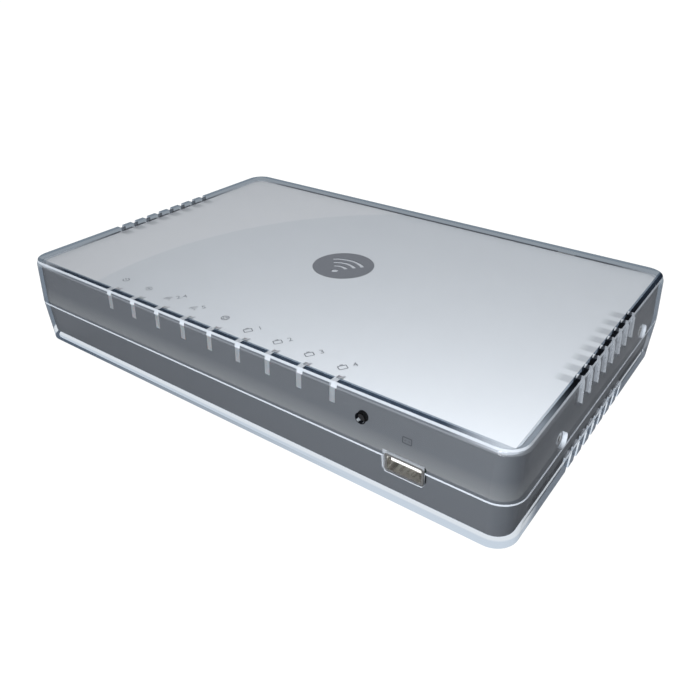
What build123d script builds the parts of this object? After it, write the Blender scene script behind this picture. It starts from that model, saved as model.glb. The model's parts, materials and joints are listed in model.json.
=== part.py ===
from build123d import *
import os
from math import radians, tan

# Flat desktop wireless router in a two-layer clamshell case.
# Frame: X to the right, front face towards -Y, Z up. Origin at the middle of the footprint,
# on the surface that the feet stand on. All lengths in millimetres, all angles in degrees.

# ---------------------------------------------------------------- case form
case_width = 230.0            # X, over the seam, where the case is widest
case_depth = 148.0            # Y, over the seam
case_height = 38.2            # feet to top face
seam_height = 19.0            # where the top and bottom halves meet
corner_radius = 9.0           # upright corners, at the seam
wall_draft = 3.0              # walls lean inwards from the seam, both ways
bevel_draft = 20.0            # lean of the bevel round the top plate
seam_chamfer = 0.35

# ---------------------------------------------------------------- layers
skin_wall = 1.6               # clear outer layer, walls
top_plate = 2.0               # clear outer layer, top
base_plate = 1.9              # clear outer layer, floor
skirt_bottom = 0.7            # lower rim of the clear base above the ground
tray_bottom = 4.2             # underside of the painted tray
liner_gap = 0.06              # air between clear and painted layers
liner_wall = 1.5              # painted layers, walls
deck = 1.5                    # painted top deck
tray_floor = 1.5
lip_height = 1.4              # locating lip of the tray inside the top liner
lip_wall = 0.8
fit_gap = 0.12                # between pieces that drop into each other
lip_root = 2.0                # lip's root below the seam
lip_merge = 0.1               # root's overlap with the tray's wall
lip_notch_gap = 0.5           # room round the insert bosses where the lip is cut away
overrun = 1.0                 # how far a cut runs past the surfaces that it opens
opening_reach = 8.0           # depth of the cuts from the front and the back
thread_bite = 0.2             # a pilot hole's radius under its screw's
screw_clearance = 0.2         # a through hole's radius over its screw's

# ---------------------------------------------------------------- silver panel and emblem
panel_rim = 1.54              # painted rim round the panel, at the deck
panel_thickness = 0.5
panel_corner = 5.5
emblem_diameter = 26.4
emblem_thickness = 0.3
emblem_x = -2.0
emblem_y = 3.2
emblem_dot = 1.5              # radius of the dot at the foot of the wave mark
emblem_arc_width = 1.7
emblem_arc_radii = (5.0, 8.6, 12.2)
emblem_arc_half_angle = 40.0
emblem_mark_drop = 6.2        # dot below the disc's centre

# ---------------------------------------------------------------- side vents
vent_count = 8
vent_pitch = 7.45
vent_width = 2.6
vent_centre_y = 0.6
vent_reach = 4.0              # case side at the seam to the slot's inner end
upper_vent_drop = 8.2         # painted deck down to the upper slots' lower end
lower_vent_top = 8.0

# ---------------------------------------------------------------- status lights
light_count = 9
light_pitch = 13.87
first_light_inset = 53.0      # case's left side to the first light
guide_width = 2.2
guide_front_drop = 7.0        # painted deck down to the front bar's lower end
guide_front_depth = 1.0
guide_bar = 1.4               # thickness of the upright leg and the comb's cross bar
guide_window_setback = 6.2    # case front at the seam to the window in the silver panel
guide_leg_drop = 7.2          # painted deck down to the comb's lower side
guide_top_setback = 0.3       # top leg's outer end behind the front bar's face
guide_panel_gap = 0.05        # top leg below the silver panel
light_drop = 4.8              # painted deck down to the LED centres
led_size = (2.0, 1.4, 1.6)
led_gap = 0.25                # LED to the back of its guide

# ---------------------------------------------------------------- boards
board_thickness = 1.6
usb_inset = 37.3              # case's right side to the port's centre
usb_centre_z = 16.4
usb_centre_above_board = 3.5
board_side_gap = 20.0         # case side at the seam to the board's edge
board_end_gap = 8.5           # case front or back at the seam to the board's edge
board_corner = 2.0
board_hole_inset = (11.0, 15.5)
board_screw_radius = 1.5
board_screw_length = 6.0
standoff_radius = 3.0
light_board_end = 7.3         # board beyond the first light
light_board_reset_end = 6.1   # board beyond the reset button
light_board_drop = 2.2        # painted deck down to its upper edge
header_pitch = 2.54
header_pins = 14
header_x = -20.0
header_pin = (0.6, 1.6)       # thickness and reach
header_pin_rise = 1.2         # main board to the pins' middle

# ---------------------------------------------------------------- reset button
reset_inset = 53.7            # case's right side to the button
reset_drop = 7.2              # painted deck down to the button's centre
reset_hole_radius = 1.7
reset_gap = 0.15
reset_recess = 0.8
reset_flange_radius = 2.6
reset_flange = 0.6
reset_flange_gap = 0.3        # painted wall to the flange
reset_edge = 0.3              # chamfer round the button's face
reset_hole_depth = 6.0
switch_gap = 0.1              # free play before a small push switch is touched
reset_travel = 0.5
reset_switch_size = (6.0, 3.4, 6.0)
reset_nub_radius = 1.6
reset_nub = 0.6

# ---------------------------------------------------------------- front USB port
usb_opening = (15.0, 7.2)
usb_opening_corner = 1.4
usb_opening_bevel = 0.5
usb_shell_outer = (13.14, 5.74)
usb_shell_wall = 0.31
usb_shell_depth = 13.6
usb_flange = (14.3, 6.8)
usb_flange_thickness = 0.4
usb_shell_corner = 0.6
usb_flange_corner = 0.8
usb_inner_corner = 0.4
usb_tab_places = (0.62, 0.92) # shares of the shell's depth
usb_tab_width = 2.0
usb_block_gap = 0.05          # back block to the shell's inside
usb_recess = 0.7              # flange face behind the case front at the seam
usb_tongue_size = (11.1, 8.9, 1.84)
usb_tongue_rise = 1.0         # tongue centre above the port's centre
usb_back_block = 3.2
usb_contact = (1.0, 6.4, 0.2)
usb_contact_offsets = (-3.5, -1.0, 1.0, 3.5)

# ---------------------------------------------------------------- rear panel
rear_panel_inset = 17.0       # case's right side to the panel's end
rear_panel_end = 14.0         # panel beyond the pairing button
rear_panel_margin = 2.3       # panel above and below the jacks and the board
rear_panel_thickness = 1.4
rear_panel_recess = 2.0       # its outer face behind the case back at the seam
port_gap = 0.15
jack_size = (15.9, 16.0, 13.4)
jack_bore = (11.8, 13.0, 6.9)
jack_latch = (6.2, 2.3)
jack_bore_lift = 4.6          # cavity floor above the board
jack_stand_out = 0.5          # jack face proud of the rear panel
jack_pins = 8
jack_pin_pitch = 1.02
jack_pin = (0.4, 8.0, 0.35)
wan_jack_inset = 69.0         # case's right side to the jack
lan_jack_inset = 92.0         # case's right side to the first of the four
lan_jack_pitch = 17.2
dc_jack_inset = 45.0
dc_jack_size = (9.0, 14.2, 11.0)
dc_bore_radius = 3.1
dc_bore_depth = 9.6
dc_pin_radius = 1.0
dc_pin_setback = 1.5          # pin's end behind the jack's face
power_inset = 28.0
power_switch_size = (8.0, 12.0, 8.4)
power_cap_side = 6.4
power_cap_proud = 3.2
power_travel = 2.0
power_edge = 0.6              # round on the cap's front edges
power_collar_lip = 0.7        # collar beyond the cap
power_collar_room = 1.2       # room behind the rear panel for the collar
collar_gap = 0.15
power_stem = 3.6              # side of the square stem inside the switch
power_stem_reach = 1.0        # stem inside the switch at rest
power_switch_bore = 4.0       # depth of the stem's hole
pairing_gap = 19.4            # last jack's centre to the pairing button
pairing_rise = 4.5            # board to the button's centre
pairing_switch_size = (7.0, 4.0, 7.0)
pairing_cap_radius = 2.6
pairing_cap_proud = 0.9
pairing_edge = 0.4
pairing_flange_radius = 3.5
pairing_flange_depth = 1.2    # rear panel to the collar's inner side
pairing_travel = 0.5
pairing_nub = 0.6
pairing_nub_radius = 1.5

# ---------------------------------------------------------------- lock slot at the back
lock_inset = 44.0
lock_block_width = 7.8
lock_block_depth = 1.2
lock_block_setback = 0.35     # block behind the clear wall at the slot
lock_block_drop = 6.6         # painted deck down to the block's lower end
lock_slot = (7.0, 3.0)
lock_slot_drop = 3.6          # painted deck down to the slot's centre

# ---------------------------------------------------------------- fasteners, feet, underside
case_screw_inset = (12.0, 13.0)
case_boss_radius = 3.6
case_screw_radius = 1.5
case_screw_head_radius = 2.8
case_screw_head = 1.8
case_screw_length = 22.0
case_screw_pilot = 14.0       # depth of its pilot hole above the seam
case_screw_recess = (3.6, 0.8, 1.6)
board_screw_head_radius = 2.6
board_screw_head = 2.0
board_screw_recess = (3.2, 0.7, 1.6)
thread_depth = 0.25           # a screw's shank radius under its nominal one
case_head_depth = 1.5         # head's recess in the tray floor
side_hole_radius = 2.8
side_hole_rise = 2.95         # seam to the holes' centres
side_hole_front_y = -38.2
side_hole_back_y = 46.6
insert_radius = 2.1
insert_bore_radius = 1.25
insert_length = 4.4
insert_boss_width = 7.4
insert_boss_height = 7.0
insert_boss_merge = 0.8       # boss's overlap with the painted wall
insert_gap = 0.1              # insert's face behind the clear wall
insert_press = 0.02           # insert's radius under its hole's
foot_radius = 6.0
foot_inset = (19.0, 24.0)
foot_edge = 0.5
label_size = (66.0, 34.0)
label_thickness = 0.15
label_corner = 2.0
keyhole_spacing = 120.0
keyhole_y = 20.0
keyhole_head_radius = 4.2
keyhole_neck = 4.4
keyhole_travel = 7.0
keyhole_pocket_depth = 3.2
keyhole_pocket_wall = 1.2
floor_slot_count = 12
floor_slot_pitch = 7.0
floor_slot = (3.0, 24.0)
floor_slot_y = -32.0
label_y = 24.0

# ---------------------------------------------------------------- parts on the main board
processor_side = 17.0
processor_height = 1.3
processor_place = (-8.0, -4.0)
pad_thickness = 0.8
heatsink_side = 28.0
heatsink_base = 2.0
heatsink_height = 9.0
heatsink_fins = 8
heatsink_fin = 1.2
shield_size = (28.0, 24.0, 2.6)
shield_wall = 0.25
shield_hole_radius = 0.7
shield_holes = (5, 3)
low_band_place = (-62.0, 8.0)
high_band_place = (36.0, -24.0)
memory_size = (9.0, 13.0, 1.1)
memory_place = (-34.0, -8.0)
flash_size = (6.0, 8.0, 1.6)
flash_place = (-34.0, -26.0)
switch_chip_size = (14.0, 14.0, 1.2)
switch_chip_place = (14.0, 18.0)
transformer_size = (12.5, 9.0, 5.5)
transformer_gap = 8.0         # back of the jacks to the transformers' centres
capacitor_radius = 4.0
capacitor_height = 11.0
capacitor_places = ((0.0, 30.0), (0.0, 19.0), (-13.0, 30.0))    # X from the power switch, Y
inductor_size = (7.0, 7.0, 4.0)
inductor_places = ((-13.0, 17.0), (-27.0, 22.0), (-27.0, 10.0))
crystal_size = (5.0, 3.2, 1.0)
crystal_places = ((-28.0, 8.0), (30.0, 8.0))
antenna_size = (26.0, 5.0, 12.0)
antenna_sheet = 0.4
antenna_band = 4.0            # height of the sheet's upper band
antenna_foot = 3.0            # width of each foot
antenna_feet = (1.5, 9.0)     # feet's middles from the sheet's outer end
antenna_y = -8.0
antenna_inset = 17.0          # board's edge to the antenna's centre

# ---------------------------------------------------------------- levels worked out from the above
deck_level = case_height - top_plate
board_top = usb_centre_z - usb_centre_above_board
board_bottom = board_top - board_thickness
floor_top = tray_bottom + tray_floor
plate_bottom = tray_bottom - liner_gap - base_plate
front_y = -case_depth / 2
back_y = case_depth / 2
right_x = case_width / 2
board_width = case_width - 2 * board_side_gap
board_depth = case_depth - 2 * board_end_gap
board_hole_x = board_width / 2 - board_hole_inset[0]
board_hole_y = board_depth / 2 - board_hole_inset[1]
case_screw_x = right_x - case_screw_inset[0]
case_screw_y = back_y - case_screw_inset[1]
foot_x = right_x - foot_inset[0]
foot_y = back_y - foot_inset[1]
upper_vent_bottom = deck_level - upper_vent_drop
first_light_x = first_light_inset - right_x
light_height = deck_level - light_drop
guide_front_bottom = deck_level - guide_front_drop
guide_leg_bottom = deck_level - guide_leg_drop
guide_leg_y = front_y + guide_window_setback
light_board_y = guide_leg_y + guide_bar + led_gap + led_size[1]
light_board_left = first_light_x - light_board_end
light_board_top = deck_level - light_board_drop
reset_x = right_x - reset_inset
reset_z = deck_level - reset_drop
light_board_right = reset_x + light_board_reset_end
usb_centre_x = right_x - usb_inset
wan_jack_x = right_x - wan_jack_inset
lan_jack_x = right_x - lan_jack_inset
dc_jack_x = right_x - dc_jack_inset
power_x = right_x - power_inset
pairing_x = lan_jack_x - 3 * lan_jack_pitch - pairing_gap
pairing_z = board_top + pairing_rise
rear_panel_left = pairing_x - rear_panel_end
rear_panel_right = right_x - rear_panel_inset
rear_panel_bottom = board_bottom - rear_panel_margin
rear_panel_top = board_top + jack_size[2] + rear_panel_margin
lock_x = right_x - lock_inset
lock_slot_z = deck_level - lock_slot_drop
lock_block_bottom = deck_level - lock_block_drop
side_hole_z = seam_height + side_hole_rise
insert_boss_top = seam_height + insert_boss_height
lean = tan(radians(wall_draft))
panel_margin = skin_wall + liner_gap + (deck_level - seam_height) * lean + panel_rim


def export(name, shape):
    """Write one named piece, made of one solid or a group of separate solids."""
    export_step(shape, f"parts/{name}.step")


def block(x, y, z):
    """A box between two values on each axis."""
    size = Box(x[1] - x[0], y[1] - y[0], z[1] - z[0])
    return Pos((x[0] + x[1]) / 2, (y[0] + y[1]) / 2, (z[0] + z[1]) / 2) * size


def post(x, y, z, radius):
    """An upright cylinder between two heights."""
    return Pos(x, y, (z[0] + z[1]) / 2) * Cylinder(radius, z[1] - z[0])


def rod_along_y(x, y, z, radius):
    """A cylinder along Y between two values of y."""
    turned = Rot(90, 0, 0) * Cylinder(radius, y[1] - y[0])
    return Pos(x, (y[0] + y[1]) / 2, z) * turned


def rod_along_x(x, y, z, radius):
    """A cylinder along X between two values of x."""
    turned = Rot(0, 90, 0) * Cylinder(radius, x[1] - x[0])
    return Pos((x[0] + x[1]) / 2, y, z) * turned


def outline(inset):
    """Plan of the case at the seam, moved inwards."""
    return RectangleRounded(case_width - 2 * inset, case_depth - 2 * inset, corner_radius - inset)


def upper_form(inset, top):
    """The case's form above the seam, moved inwards, up to a height."""
    return extrude(Pos(0, 0, seam_height) * outline(inset), top - seam_height, taper=wall_draft)


def lower_form(inset, bottom):
    """The case's form below the seam, moved inwards, down to a height."""
    plan = Pos(0, 0, seam_height) * outline(inset)
    return extrude(plan, seam_height - bottom, dir=(0, 0, -1), taper=wall_draft)


def wall_at(height):
    """How far the outer wall stands inside the seam outline at a height."""
    return abs(height - seam_height) * lean


def seam_edges(form):
    """The edges of a form's face on the seam."""
    return form.edges().filter_by_position(Axis.Z, seam_height - 0.01, seam_height + 0.01)


def rows(count, pitch):
    """Evenly spaced places about zero."""
    return [(i - (count - 1) / 2) * pitch for i in range(count)]


vent_places = [vent_centre_y + y for y in rows(vent_count, vent_pitch)]
light_places = [first_light_x + i * light_pitch for i in range(light_count)]
lan_places = [lan_jack_x - i * lan_jack_pitch for i in range(4)]
side_hole_places = (side_hole_front_y, side_hole_back_y)
case_screw_places = [(sx * case_screw_x, sy * case_screw_y) for sx in (-1, 1) for sy in (-1, 1)]
board_hole_places = [(sx * board_hole_x, sy * board_hole_y) for sx in (-1, 1) for sy in (-1, 1)]
foot_places = [(sx * foot_x, sy * foot_y) for sx in (-1, 1) for sy in (-1, 1)]


# ---------------------------------------------------------------- cuts shared by both layers
def side_slots(bottom, top):
    """The row of vent slots through both side walls."""
    slots = Part()
    for side in (-1, 1):
        inner = side * (case_width / 2 - vent_reach)
        outer = side * (case_width / 2 + overrun)
        for y in vent_places:
            reach = (min(inner, outer), max(inner, outer))
            slots += block(reach, (y - vent_width / 2, y + vent_width / 2), (bottom, top))
    return slots


def side_holes(radius):
    """The two round holes in each side wall."""
    holes = Part()
    for side in (-1, 1):
        ends = sorted((side * (case_width / 2 - board_side_gap), side * (case_width / 2 + overrun)))
        for y in side_hole_places:
            holes += rod_along_x(ends, y, side_hole_z, radius)
    return holes


def usb_cut(grow, depth):
    """The rounded opening for the front port, through the front wall."""
    plan = RectangleRounded(usb_opening[0] + 2 * grow, usb_opening[1] + 2 * grow,
                            usb_opening_corner + grow)
    place = Plane((usb_centre_x, front_y - overrun, usb_centre_z),
                  x_dir=(1, 0, 0), z_dir=(0, 1, 0))
    return extrude(place * plan, depth + overrun)


def usb_bevel():
    """The bevel round the port's opening in the clear layer."""
    near = RectangleRounded(usb_opening[0] + 4 * usb_opening_bevel,
                            usb_opening[1] + 4 * usb_opening_bevel,
                            usb_opening_corner + 2 * usb_opening_bevel)
    place = Plane((usb_centre_x, front_y - usb_opening_bevel, usb_centre_z),
                  x_dir=(1, 0, 0), z_dir=(0, 1, 0))
    return extrude(place * near, 2 * usb_opening_bevel, taper=45)


def reset_hole():
    """The pin hole in front of the reset button."""
    reach = (front_y - overrun, front_y + reset_hole_depth)
    return rod_along_y(reset_x, reach, reset_z, reset_hole_radius)


def rear_window(grow):
    """The wide opening at the back that the rear panel fills."""
    return block((rear_panel_left - grow, rear_panel_right + grow),
                 (back_y - opening_reach, back_y + overrun),
                 (rear_panel_bottom - grow, rear_panel_top + grow))


def lock_cut(grow):
    """Room for the lock slot's block, up to the painted deck's surface."""
    return block((lock_x - lock_block_width / 2 - grow, lock_x + lock_block_width / 2 + grow),
                 (back_y - opening_reach, back_y + overrun),
                 (lock_block_bottom - grow, deck_level))


def keyhole(z):
    """Keyhole slots for two wall screws, narrow end towards the back."""
    cut = Part()
    for x in (-keyhole_spacing / 2, keyhole_spacing / 2):
        cut += post(x, keyhole_y, z, keyhole_head_radius)
        cut += block((x - keyhole_neck / 2, x + keyhole_neck / 2),
                     (keyhole_y, keyhole_y + keyhole_travel), z)
        cut += post(x, keyhole_y + keyhole_travel, z, keyhole_neck / 2)
    return cut


def floor_slots(z):
    """The row of air slots in the floor."""
    cut = Part()
    for x in rows(floor_slot_count, floor_slot_pitch):
        plan = Pos(x, floor_slot_y, z[0]) * SlotOverall(floor_slot[1], floor_slot[0], rotation=90)
        cut += extrude(plan, z[1] - z[0])
    return cut


# ---------------------------------------------------------------- case
def make_top_cover_clear():
    """Clear outer layer of the top half, with a bevelled plate on top."""
    outside = upper_form(0, deck_level)
    outside = chamfer(seam_edges(outside), seam_chamfer)
    plate_inset = wall_at(deck_level)
    plate = extrude(Pos(0, 0, deck_level) * outline(plate_inset), top_plate, taper=bevel_draft)
    cover = outside + plate - upper_form(skin_wall, deck_level)
    cover -= side_slots(upper_vent_bottom, case_height + overrun)
    cover -= side_holes(side_hole_radius)
    cover -= usb_cut(0, skin_wall + 2 * overrun)
    cover -= usb_bevel()
    cover -= rear_window(port_gap)
    cover -= reset_hole()
    slot = Box(lock_slot[0], opening_reach, lock_slot[1])
    cover -= Pos(lock_x, back_y, lock_slot_z) * slot
    return cover


def make_top_cover_body():
    """Painted inner layer of the top half, with the screw bosses and the deck."""
    outside_inset = skin_wall + liner_gap
    top = deck_level - liner_gap
    body = upper_form(outside_inset, top) - upper_form(outside_inset + liner_wall, top - deck)
    for x, y in case_screw_places:
        body += post(x, y, (seam_height + fit_gap, top - deck), case_boss_radius)
        body -= post(x, y, (seam_height, seam_height + case_screw_pilot),
                     case_screw_radius - thread_bite)
    for side in (-1, 1):
        inner = side * (case_width / 2 - outside_inset - liner_wall - insert_length)
        outer = side * (case_width / 2 - outside_inset - liner_wall + insert_boss_merge)
        for y in side_hole_places:
            body += block(sorted((inner, outer)),
                          (y - insert_boss_width / 2, y + insert_boss_width / 2),
                          (seam_height + fit_gap, insert_boss_top))
    recess = RectangleRounded(case_width - 2 * panel_margin + 2 * fit_gap,
                              case_depth - 2 * panel_margin + 2 * fit_gap,
                              panel_corner + fit_gap)
    body -= extrude(Pos(0, 0, top - panel_thickness) * recess, panel_thickness)
    body -= side_slots(upper_vent_bottom, case_height)
    body -= side_holes(insert_radius)
    body -= usb_cut(0, opening_reach)
    body -= rear_window(port_gap)
    body -= lock_cut(fit_gap)
    body -= reset_hole()
    for x in light_places:
        body -= guide_room(x)
    return body


def make_silver_panel():
    """Thin silver deco plate in the deck's recess, pierced for the nine light windows."""
    top = deck_level - liner_gap
    plan = RectangleRounded(case_width - 2 * panel_margin, case_depth - 2 * panel_margin,
                            panel_corner)
    panel = extrude(Pos(0, 0, top - panel_thickness) * plan, panel_thickness)
    panel -= post(emblem_x, emblem_y, (top - emblem_thickness, top),
                  emblem_diameter / 2 + fit_gap / 2)
    for x in light_places:
        panel -= block((x - guide_width / 2 - fit_gap, x + guide_width / 2 + fit_gap),
                       (guide_leg_y - fit_gap, guide_leg_y + guide_bar + fit_gap),
                       (top - panel_thickness, top))
    return panel


def make_top_emblem():
    """Round inlay with a plain wave mark: a dot and three arcs cut through it."""
    disc = Circle(emblem_diameter / 2)
    centre = Pos(0, -emblem_mark_drop)
    mark = centre * Circle(emblem_dot)
    reach = 2 * emblem_diameter
    side = reach * tan(radians(emblem_arc_half_angle))
    wedge = centre * make_face(Polyline((0, 0), (side, reach), (-side, reach), close=True))
    for radius in emblem_arc_radii:
        ring = Circle(radius + emblem_arc_width / 2) - Circle(radius - emblem_arc_width / 2)
        mark += (centre * ring) & wedge
    plan = disc - mark
    place = Pos(emblem_x, emblem_y, deck_level - liner_gap - emblem_thickness)
    return extrude(place * plan, emblem_thickness)


def make_base_cover_clear():
    """Clear outer layer of the bottom half: walls, floor and a skirt below the floor."""
    outside = lower_form(0, skirt_bottom)
    outside = chamfer(seam_edges(outside), seam_chamfer)
    floor_z = (plate_bottom, plate_bottom + base_plate)
    cover = outside - lower_form(skin_wall, floor_z[1])
    under = lower_form(skin_wall, skirt_bottom) - lower_form(0, floor_z[0])
    cover -= under
    cover -= side_slots(skirt_bottom - overrun, lower_vent_top)
    cover -= usb_cut(0, skin_wall + 2 * overrun)
    cover -= usb_bevel()
    cover -= rear_window(port_gap)
    cover -= keyhole(floor_z)
    cover -= floor_slots(floor_z)
    for x, y in case_screw_places:
        cover -= post(x, y, floor_z, case_screw_head_radius + fit_gap)
    return cover


def make_base_tray():
    """Painted inner tray with its floor, board standoffs, screw pillars and locating lip."""
    inset = skin_wall + liner_gap
    tray = lower_form(inset, tray_bottom) - lower_form(inset + liner_wall, floor_top)
    lip_inset = inset + liner_wall + fit_gap
    lip = upper_form(lip_inset, seam_height + lip_height)
    lip -= upper_form(lip_inset + lip_wall, seam_height + lip_height)
    root = lower_form(inset + liner_wall - lip_merge, seam_height - lip_root)
    root -= lower_form(lip_inset + lip_wall, seam_height - lip_root)
    tray += lip + root
    notch = insert_boss_width / 2 + lip_notch_gap
    for side in (-1, 1):
        for y in side_hole_places:
            inner = side * (case_width / 2 - inset - liner_wall - insert_length - overrun)
            outer = side * (case_width / 2 - inset - liner_wall - fit_gap / 2)
            tray -= block(sorted((inner, outer)), (y - notch, y + notch),
                          (seam_height, seam_height + lip_height + overrun))
    for x, y in case_screw_places:
        tray += post(x, y, (floor_top, seam_height - fit_gap), case_boss_radius)
        tray -= post(x, y, (tray_bottom, seam_height), case_screw_radius + screw_clearance)
        tray -= post(x, y, (tray_bottom, tray_bottom + case_head_depth),
                     case_screw_head_radius + fit_gap)
    for x, y in board_hole_places:
        tray += post(x, y, (floor_top, board_bottom), standoff_radius)
        tray -= post(x, y, (floor_top, board_bottom), board_screw_radius - thread_bite)
    pocket_top = floor_top + keyhole_pocket_depth - tray_floor
    for x in (-keyhole_spacing / 2, keyhole_spacing / 2):
        reach = keyhole_head_radius + keyhole_pocket_wall
        tray += block((x - reach, x + reach),
                      (keyhole_y - reach, keyhole_y + keyhole_travel + reach),
                      (floor_top, pocket_top + keyhole_pocket_wall))
        tray -= block((x - keyhole_head_radius, x + keyhole_head_radius),
                      (keyhole_y - keyhole_head_radius,
                       keyhole_y + keyhole_travel + keyhole_head_radius),
                      (floor_top - fit_gap, pocket_top))
    tray -= keyhole((tray_bottom, floor_top))
    tray -= floor_slots((tray_bottom, floor_top))
    tray -= side_slots(skirt_bottom - overrun, lower_vent_top)
    tray -= usb_cut(0, opening_reach)
    tray -= rear_window(port_gap)
    return tray


# ---------------------------------------------------------------- light guides
def guide_shape(x, grow):
    """One light guide: front bar, top leg under the clear plate, window and upright leg."""
    half = guide_width / 2 + grow
    sides = (x - half, x + half)
    outer = front_y + skin_wall + liner_gap + wall_at(deck_level)
    low_outer = front_y + skin_wall + liner_gap + wall_at(guide_front_bottom)
    top = deck_level - liner_gap
    leg = (guide_leg_y - grow, guide_leg_y + guide_bar + grow)
    bar_back = outer + guide_front_depth + grow
    shape = block(sides, (low_outer - overrun, bar_back), (guide_front_bottom - grow, top))
    shape &= upper_form(skin_wall + liner_gap, top)
    start = outer + guide_top_setback
    shape += block(sides, (start, leg[1]), (top - deck, top - panel_thickness - guide_panel_gap))
    shape += block(sides, (start, front_y + panel_margin - fit_gap), (top - deck, top))
    shape += block(sides, leg, (guide_leg_bottom, top))
    return shape


def guide_room(x):
    """The groove and slot in the painted layer that one light guide lies in."""
    return guide_shape(x, fit_gap)


def make_light_guide():
    """Nine light guides on a cross bar, moulded as one comb."""
    first, last = light_places[0], light_places[-1]
    comb = block((first, last), (guide_leg_y, guide_leg_y + guide_bar),
                 (guide_leg_bottom, guide_leg_bottom + guide_bar))
    for x in light_places:
        comb += guide_shape(x, 0)
    return comb


# ---------------------------------------------------------------- light board
def make_light_board():
    """Upright board behind the front wall that carries the LEDs and the reset switch."""
    return block((light_board_left, light_board_right),
                 (light_board_y, light_board_y + board_thickness),
                 (board_top + fit_gap, light_board_top))


def make_status_leds():
    """Nine side-facing LEDs, each behind its own light guide."""
    width, depth, height = led_size
    group = [block((x - width / 2, x + width / 2), (light_board_y - depth, light_board_y),
                   (light_height - height / 2, light_height + height / 2)) for x in light_places]
    return Compound(children=group)


def make_board_header():
    """Right-angle pin header that joins the light board to the main board."""
    length = header_pins * header_pitch
    back = light_board_y + board_thickness
    header = block((header_x - length / 2, header_x + length / 2), (back, back + header_pitch),
                   (board_top, board_top + header_pitch))
    half = header_pin[0] / 2
    middle = board_top + header_pin_rise
    for x in rows(header_pins, header_pitch):
        header += block((header_x + x - half, header_x + x + half),
                        (back + header_pitch, back + header_pitch + header_pin[1]),
                        (middle - half, middle + half))
    return header


# ---------------------------------------------------------------- reset button
def make_reset_button():
    """Black plunger in the pin hole, with a flange behind the wall."""
    face = front_y + wall_at(reset_z) + reset_recess
    wall_back = front_y + wall_at(reset_z) + skin_wall + liner_gap + liner_wall
    flange = (wall_back + reset_flange_gap, wall_back + reset_flange_gap + reset_flange)
    plunger = rod_along_y(reset_x, (face, flange[1]), reset_z, reset_hole_radius - reset_gap)
    plunger = chamfer(plunger.edges().group_by(Axis.Y)[0], reset_edge)
    plunger += rod_along_y(reset_x, flange, reset_z, reset_flange_radius)
    end = light_board_y - reset_switch_size[1] - reset_nub - reset_travel - switch_gap
    plunger += rod_along_y(reset_x, (flange[0], end), reset_z, reset_nub_radius)
    return plunger


def make_reset_switch():
    """Small push switch on the light board, behind the reset plunger."""
    width, depth, height = reset_switch_size
    switch = block((reset_x - width / 2, reset_x + width / 2),
                   (light_board_y - depth, light_board_y),
                   (reset_z - height / 2, reset_z + height / 2))
    front = light_board_y - depth
    return switch + rod_along_y(reset_x, (front - reset_nub, front), reset_z, reset_nub_radius)


# ---------------------------------------------------------------- front USB port
def usb_plan(size, corner, y):
    """A rounded rectangle facing the front, centred on the port."""
    place = Plane((usb_centre_x, y, usb_centre_z), x_dir=(1, 0, 0), z_dir=(0, 1, 0))
    return place * RectangleRounded(size[0], size[1], corner)


def make_usb_shell():
    """Steel shell of the port, with a flared rim and two board tabs each side."""
    front = front_y + usb_recess
    inner = [side - 2 * usb_shell_wall for side in usb_shell_outer]
    shell = extrude(usb_plan(usb_shell_outer, usb_shell_corner, front), usb_shell_depth)
    shell += extrude(usb_plan(usb_flange, usb_flange_corner, front), usb_flange_thickness)
    shell -= extrude(usb_plan(inner, usb_inner_corner, front), usb_shell_depth)
    half = usb_shell_outer[0] / 2
    for side in (-1, 1):
        edge = usb_centre_x + side * (half - usb_shell_wall / 2)
        tab = (edge - usb_shell_wall / 2, edge + usb_shell_wall / 2)
        for share in usb_tab_places:
            y = front + usb_shell_depth * share
            shell += block(tab, (y - usb_tab_width / 2, y + usb_tab_width / 2),
                           (board_top, usb_centre_z))
    return shell


def make_usb_tongue():
    """White insulator: the tongue and the block that closes the back of the shell."""
    front = front_y + usb_recess
    width, length, height = usb_tongue_size
    back = front + usb_shell_depth
    centre = usb_centre_z + usb_tongue_rise
    tongue = block((usb_centre_x - width / 2, usb_centre_x + width / 2),
                   (back - usb_back_block - length, back - usb_back_block),
                   (centre - height / 2, centre + height / 2))
    inner = [side - 2 * usb_shell_wall - 2 * usb_block_gap for side in usb_shell_outer]
    tongue += extrude(usb_plan(inner, usb_inner_corner - usb_block_gap, back - usb_back_block),
                      usb_back_block)
    return tongue


def make_usb_contacts():
    """Four contact strips under the tongue."""
    width, length, height = usb_contact
    back = front_y + usb_recess + usb_shell_depth - usb_back_block
    top = usb_centre_z + usb_tongue_rise - usb_tongue_size[2] / 2
    group = [block((usb_centre_x + x - width / 2, usb_centre_x + x + width / 2),
                   (back - length, back), (top - height, top)) for x in usb_contact_offsets]
    return Compound(children=group)


# ---------------------------------------------------------------- rear panel and its ports
panel_face = back_y - rear_panel_recess
jack_face = panel_face + jack_stand_out


def make_rear_panel():
    """Plate across the back, pierced for the jacks and the two buttons."""
    plate = block((rear_panel_left, rear_panel_right),
                  (panel_face - rear_panel_thickness, panel_face),
                  (rear_panel_bottom, rear_panel_top))
    through = (panel_face - rear_panel_thickness - overrun, panel_face + overrun)
    for x in [wan_jack_x] + lan_places:
        half = jack_size[0] / 2 + port_gap
        plate -= block((x - half, x + half), through,
                       (board_top - port_gap, board_top + jack_size[2] + port_gap))
    half = dc_jack_size[0] / 2 + port_gap
    plate -= block((dc_jack_x - half, dc_jack_x + half), through,
                   (board_top - port_gap, board_top + dc_jack_size[2] + port_gap))
    half = power_cap_side / 2 + port_gap
    middle = board_top + power_switch_size[2] / 2
    plate -= block((power_x - half, power_x + half), through, (middle - half, middle + half))
    plate -= rod_along_y(pairing_x, through, pairing_z, pairing_cap_radius + port_gap)
    return plate


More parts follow.
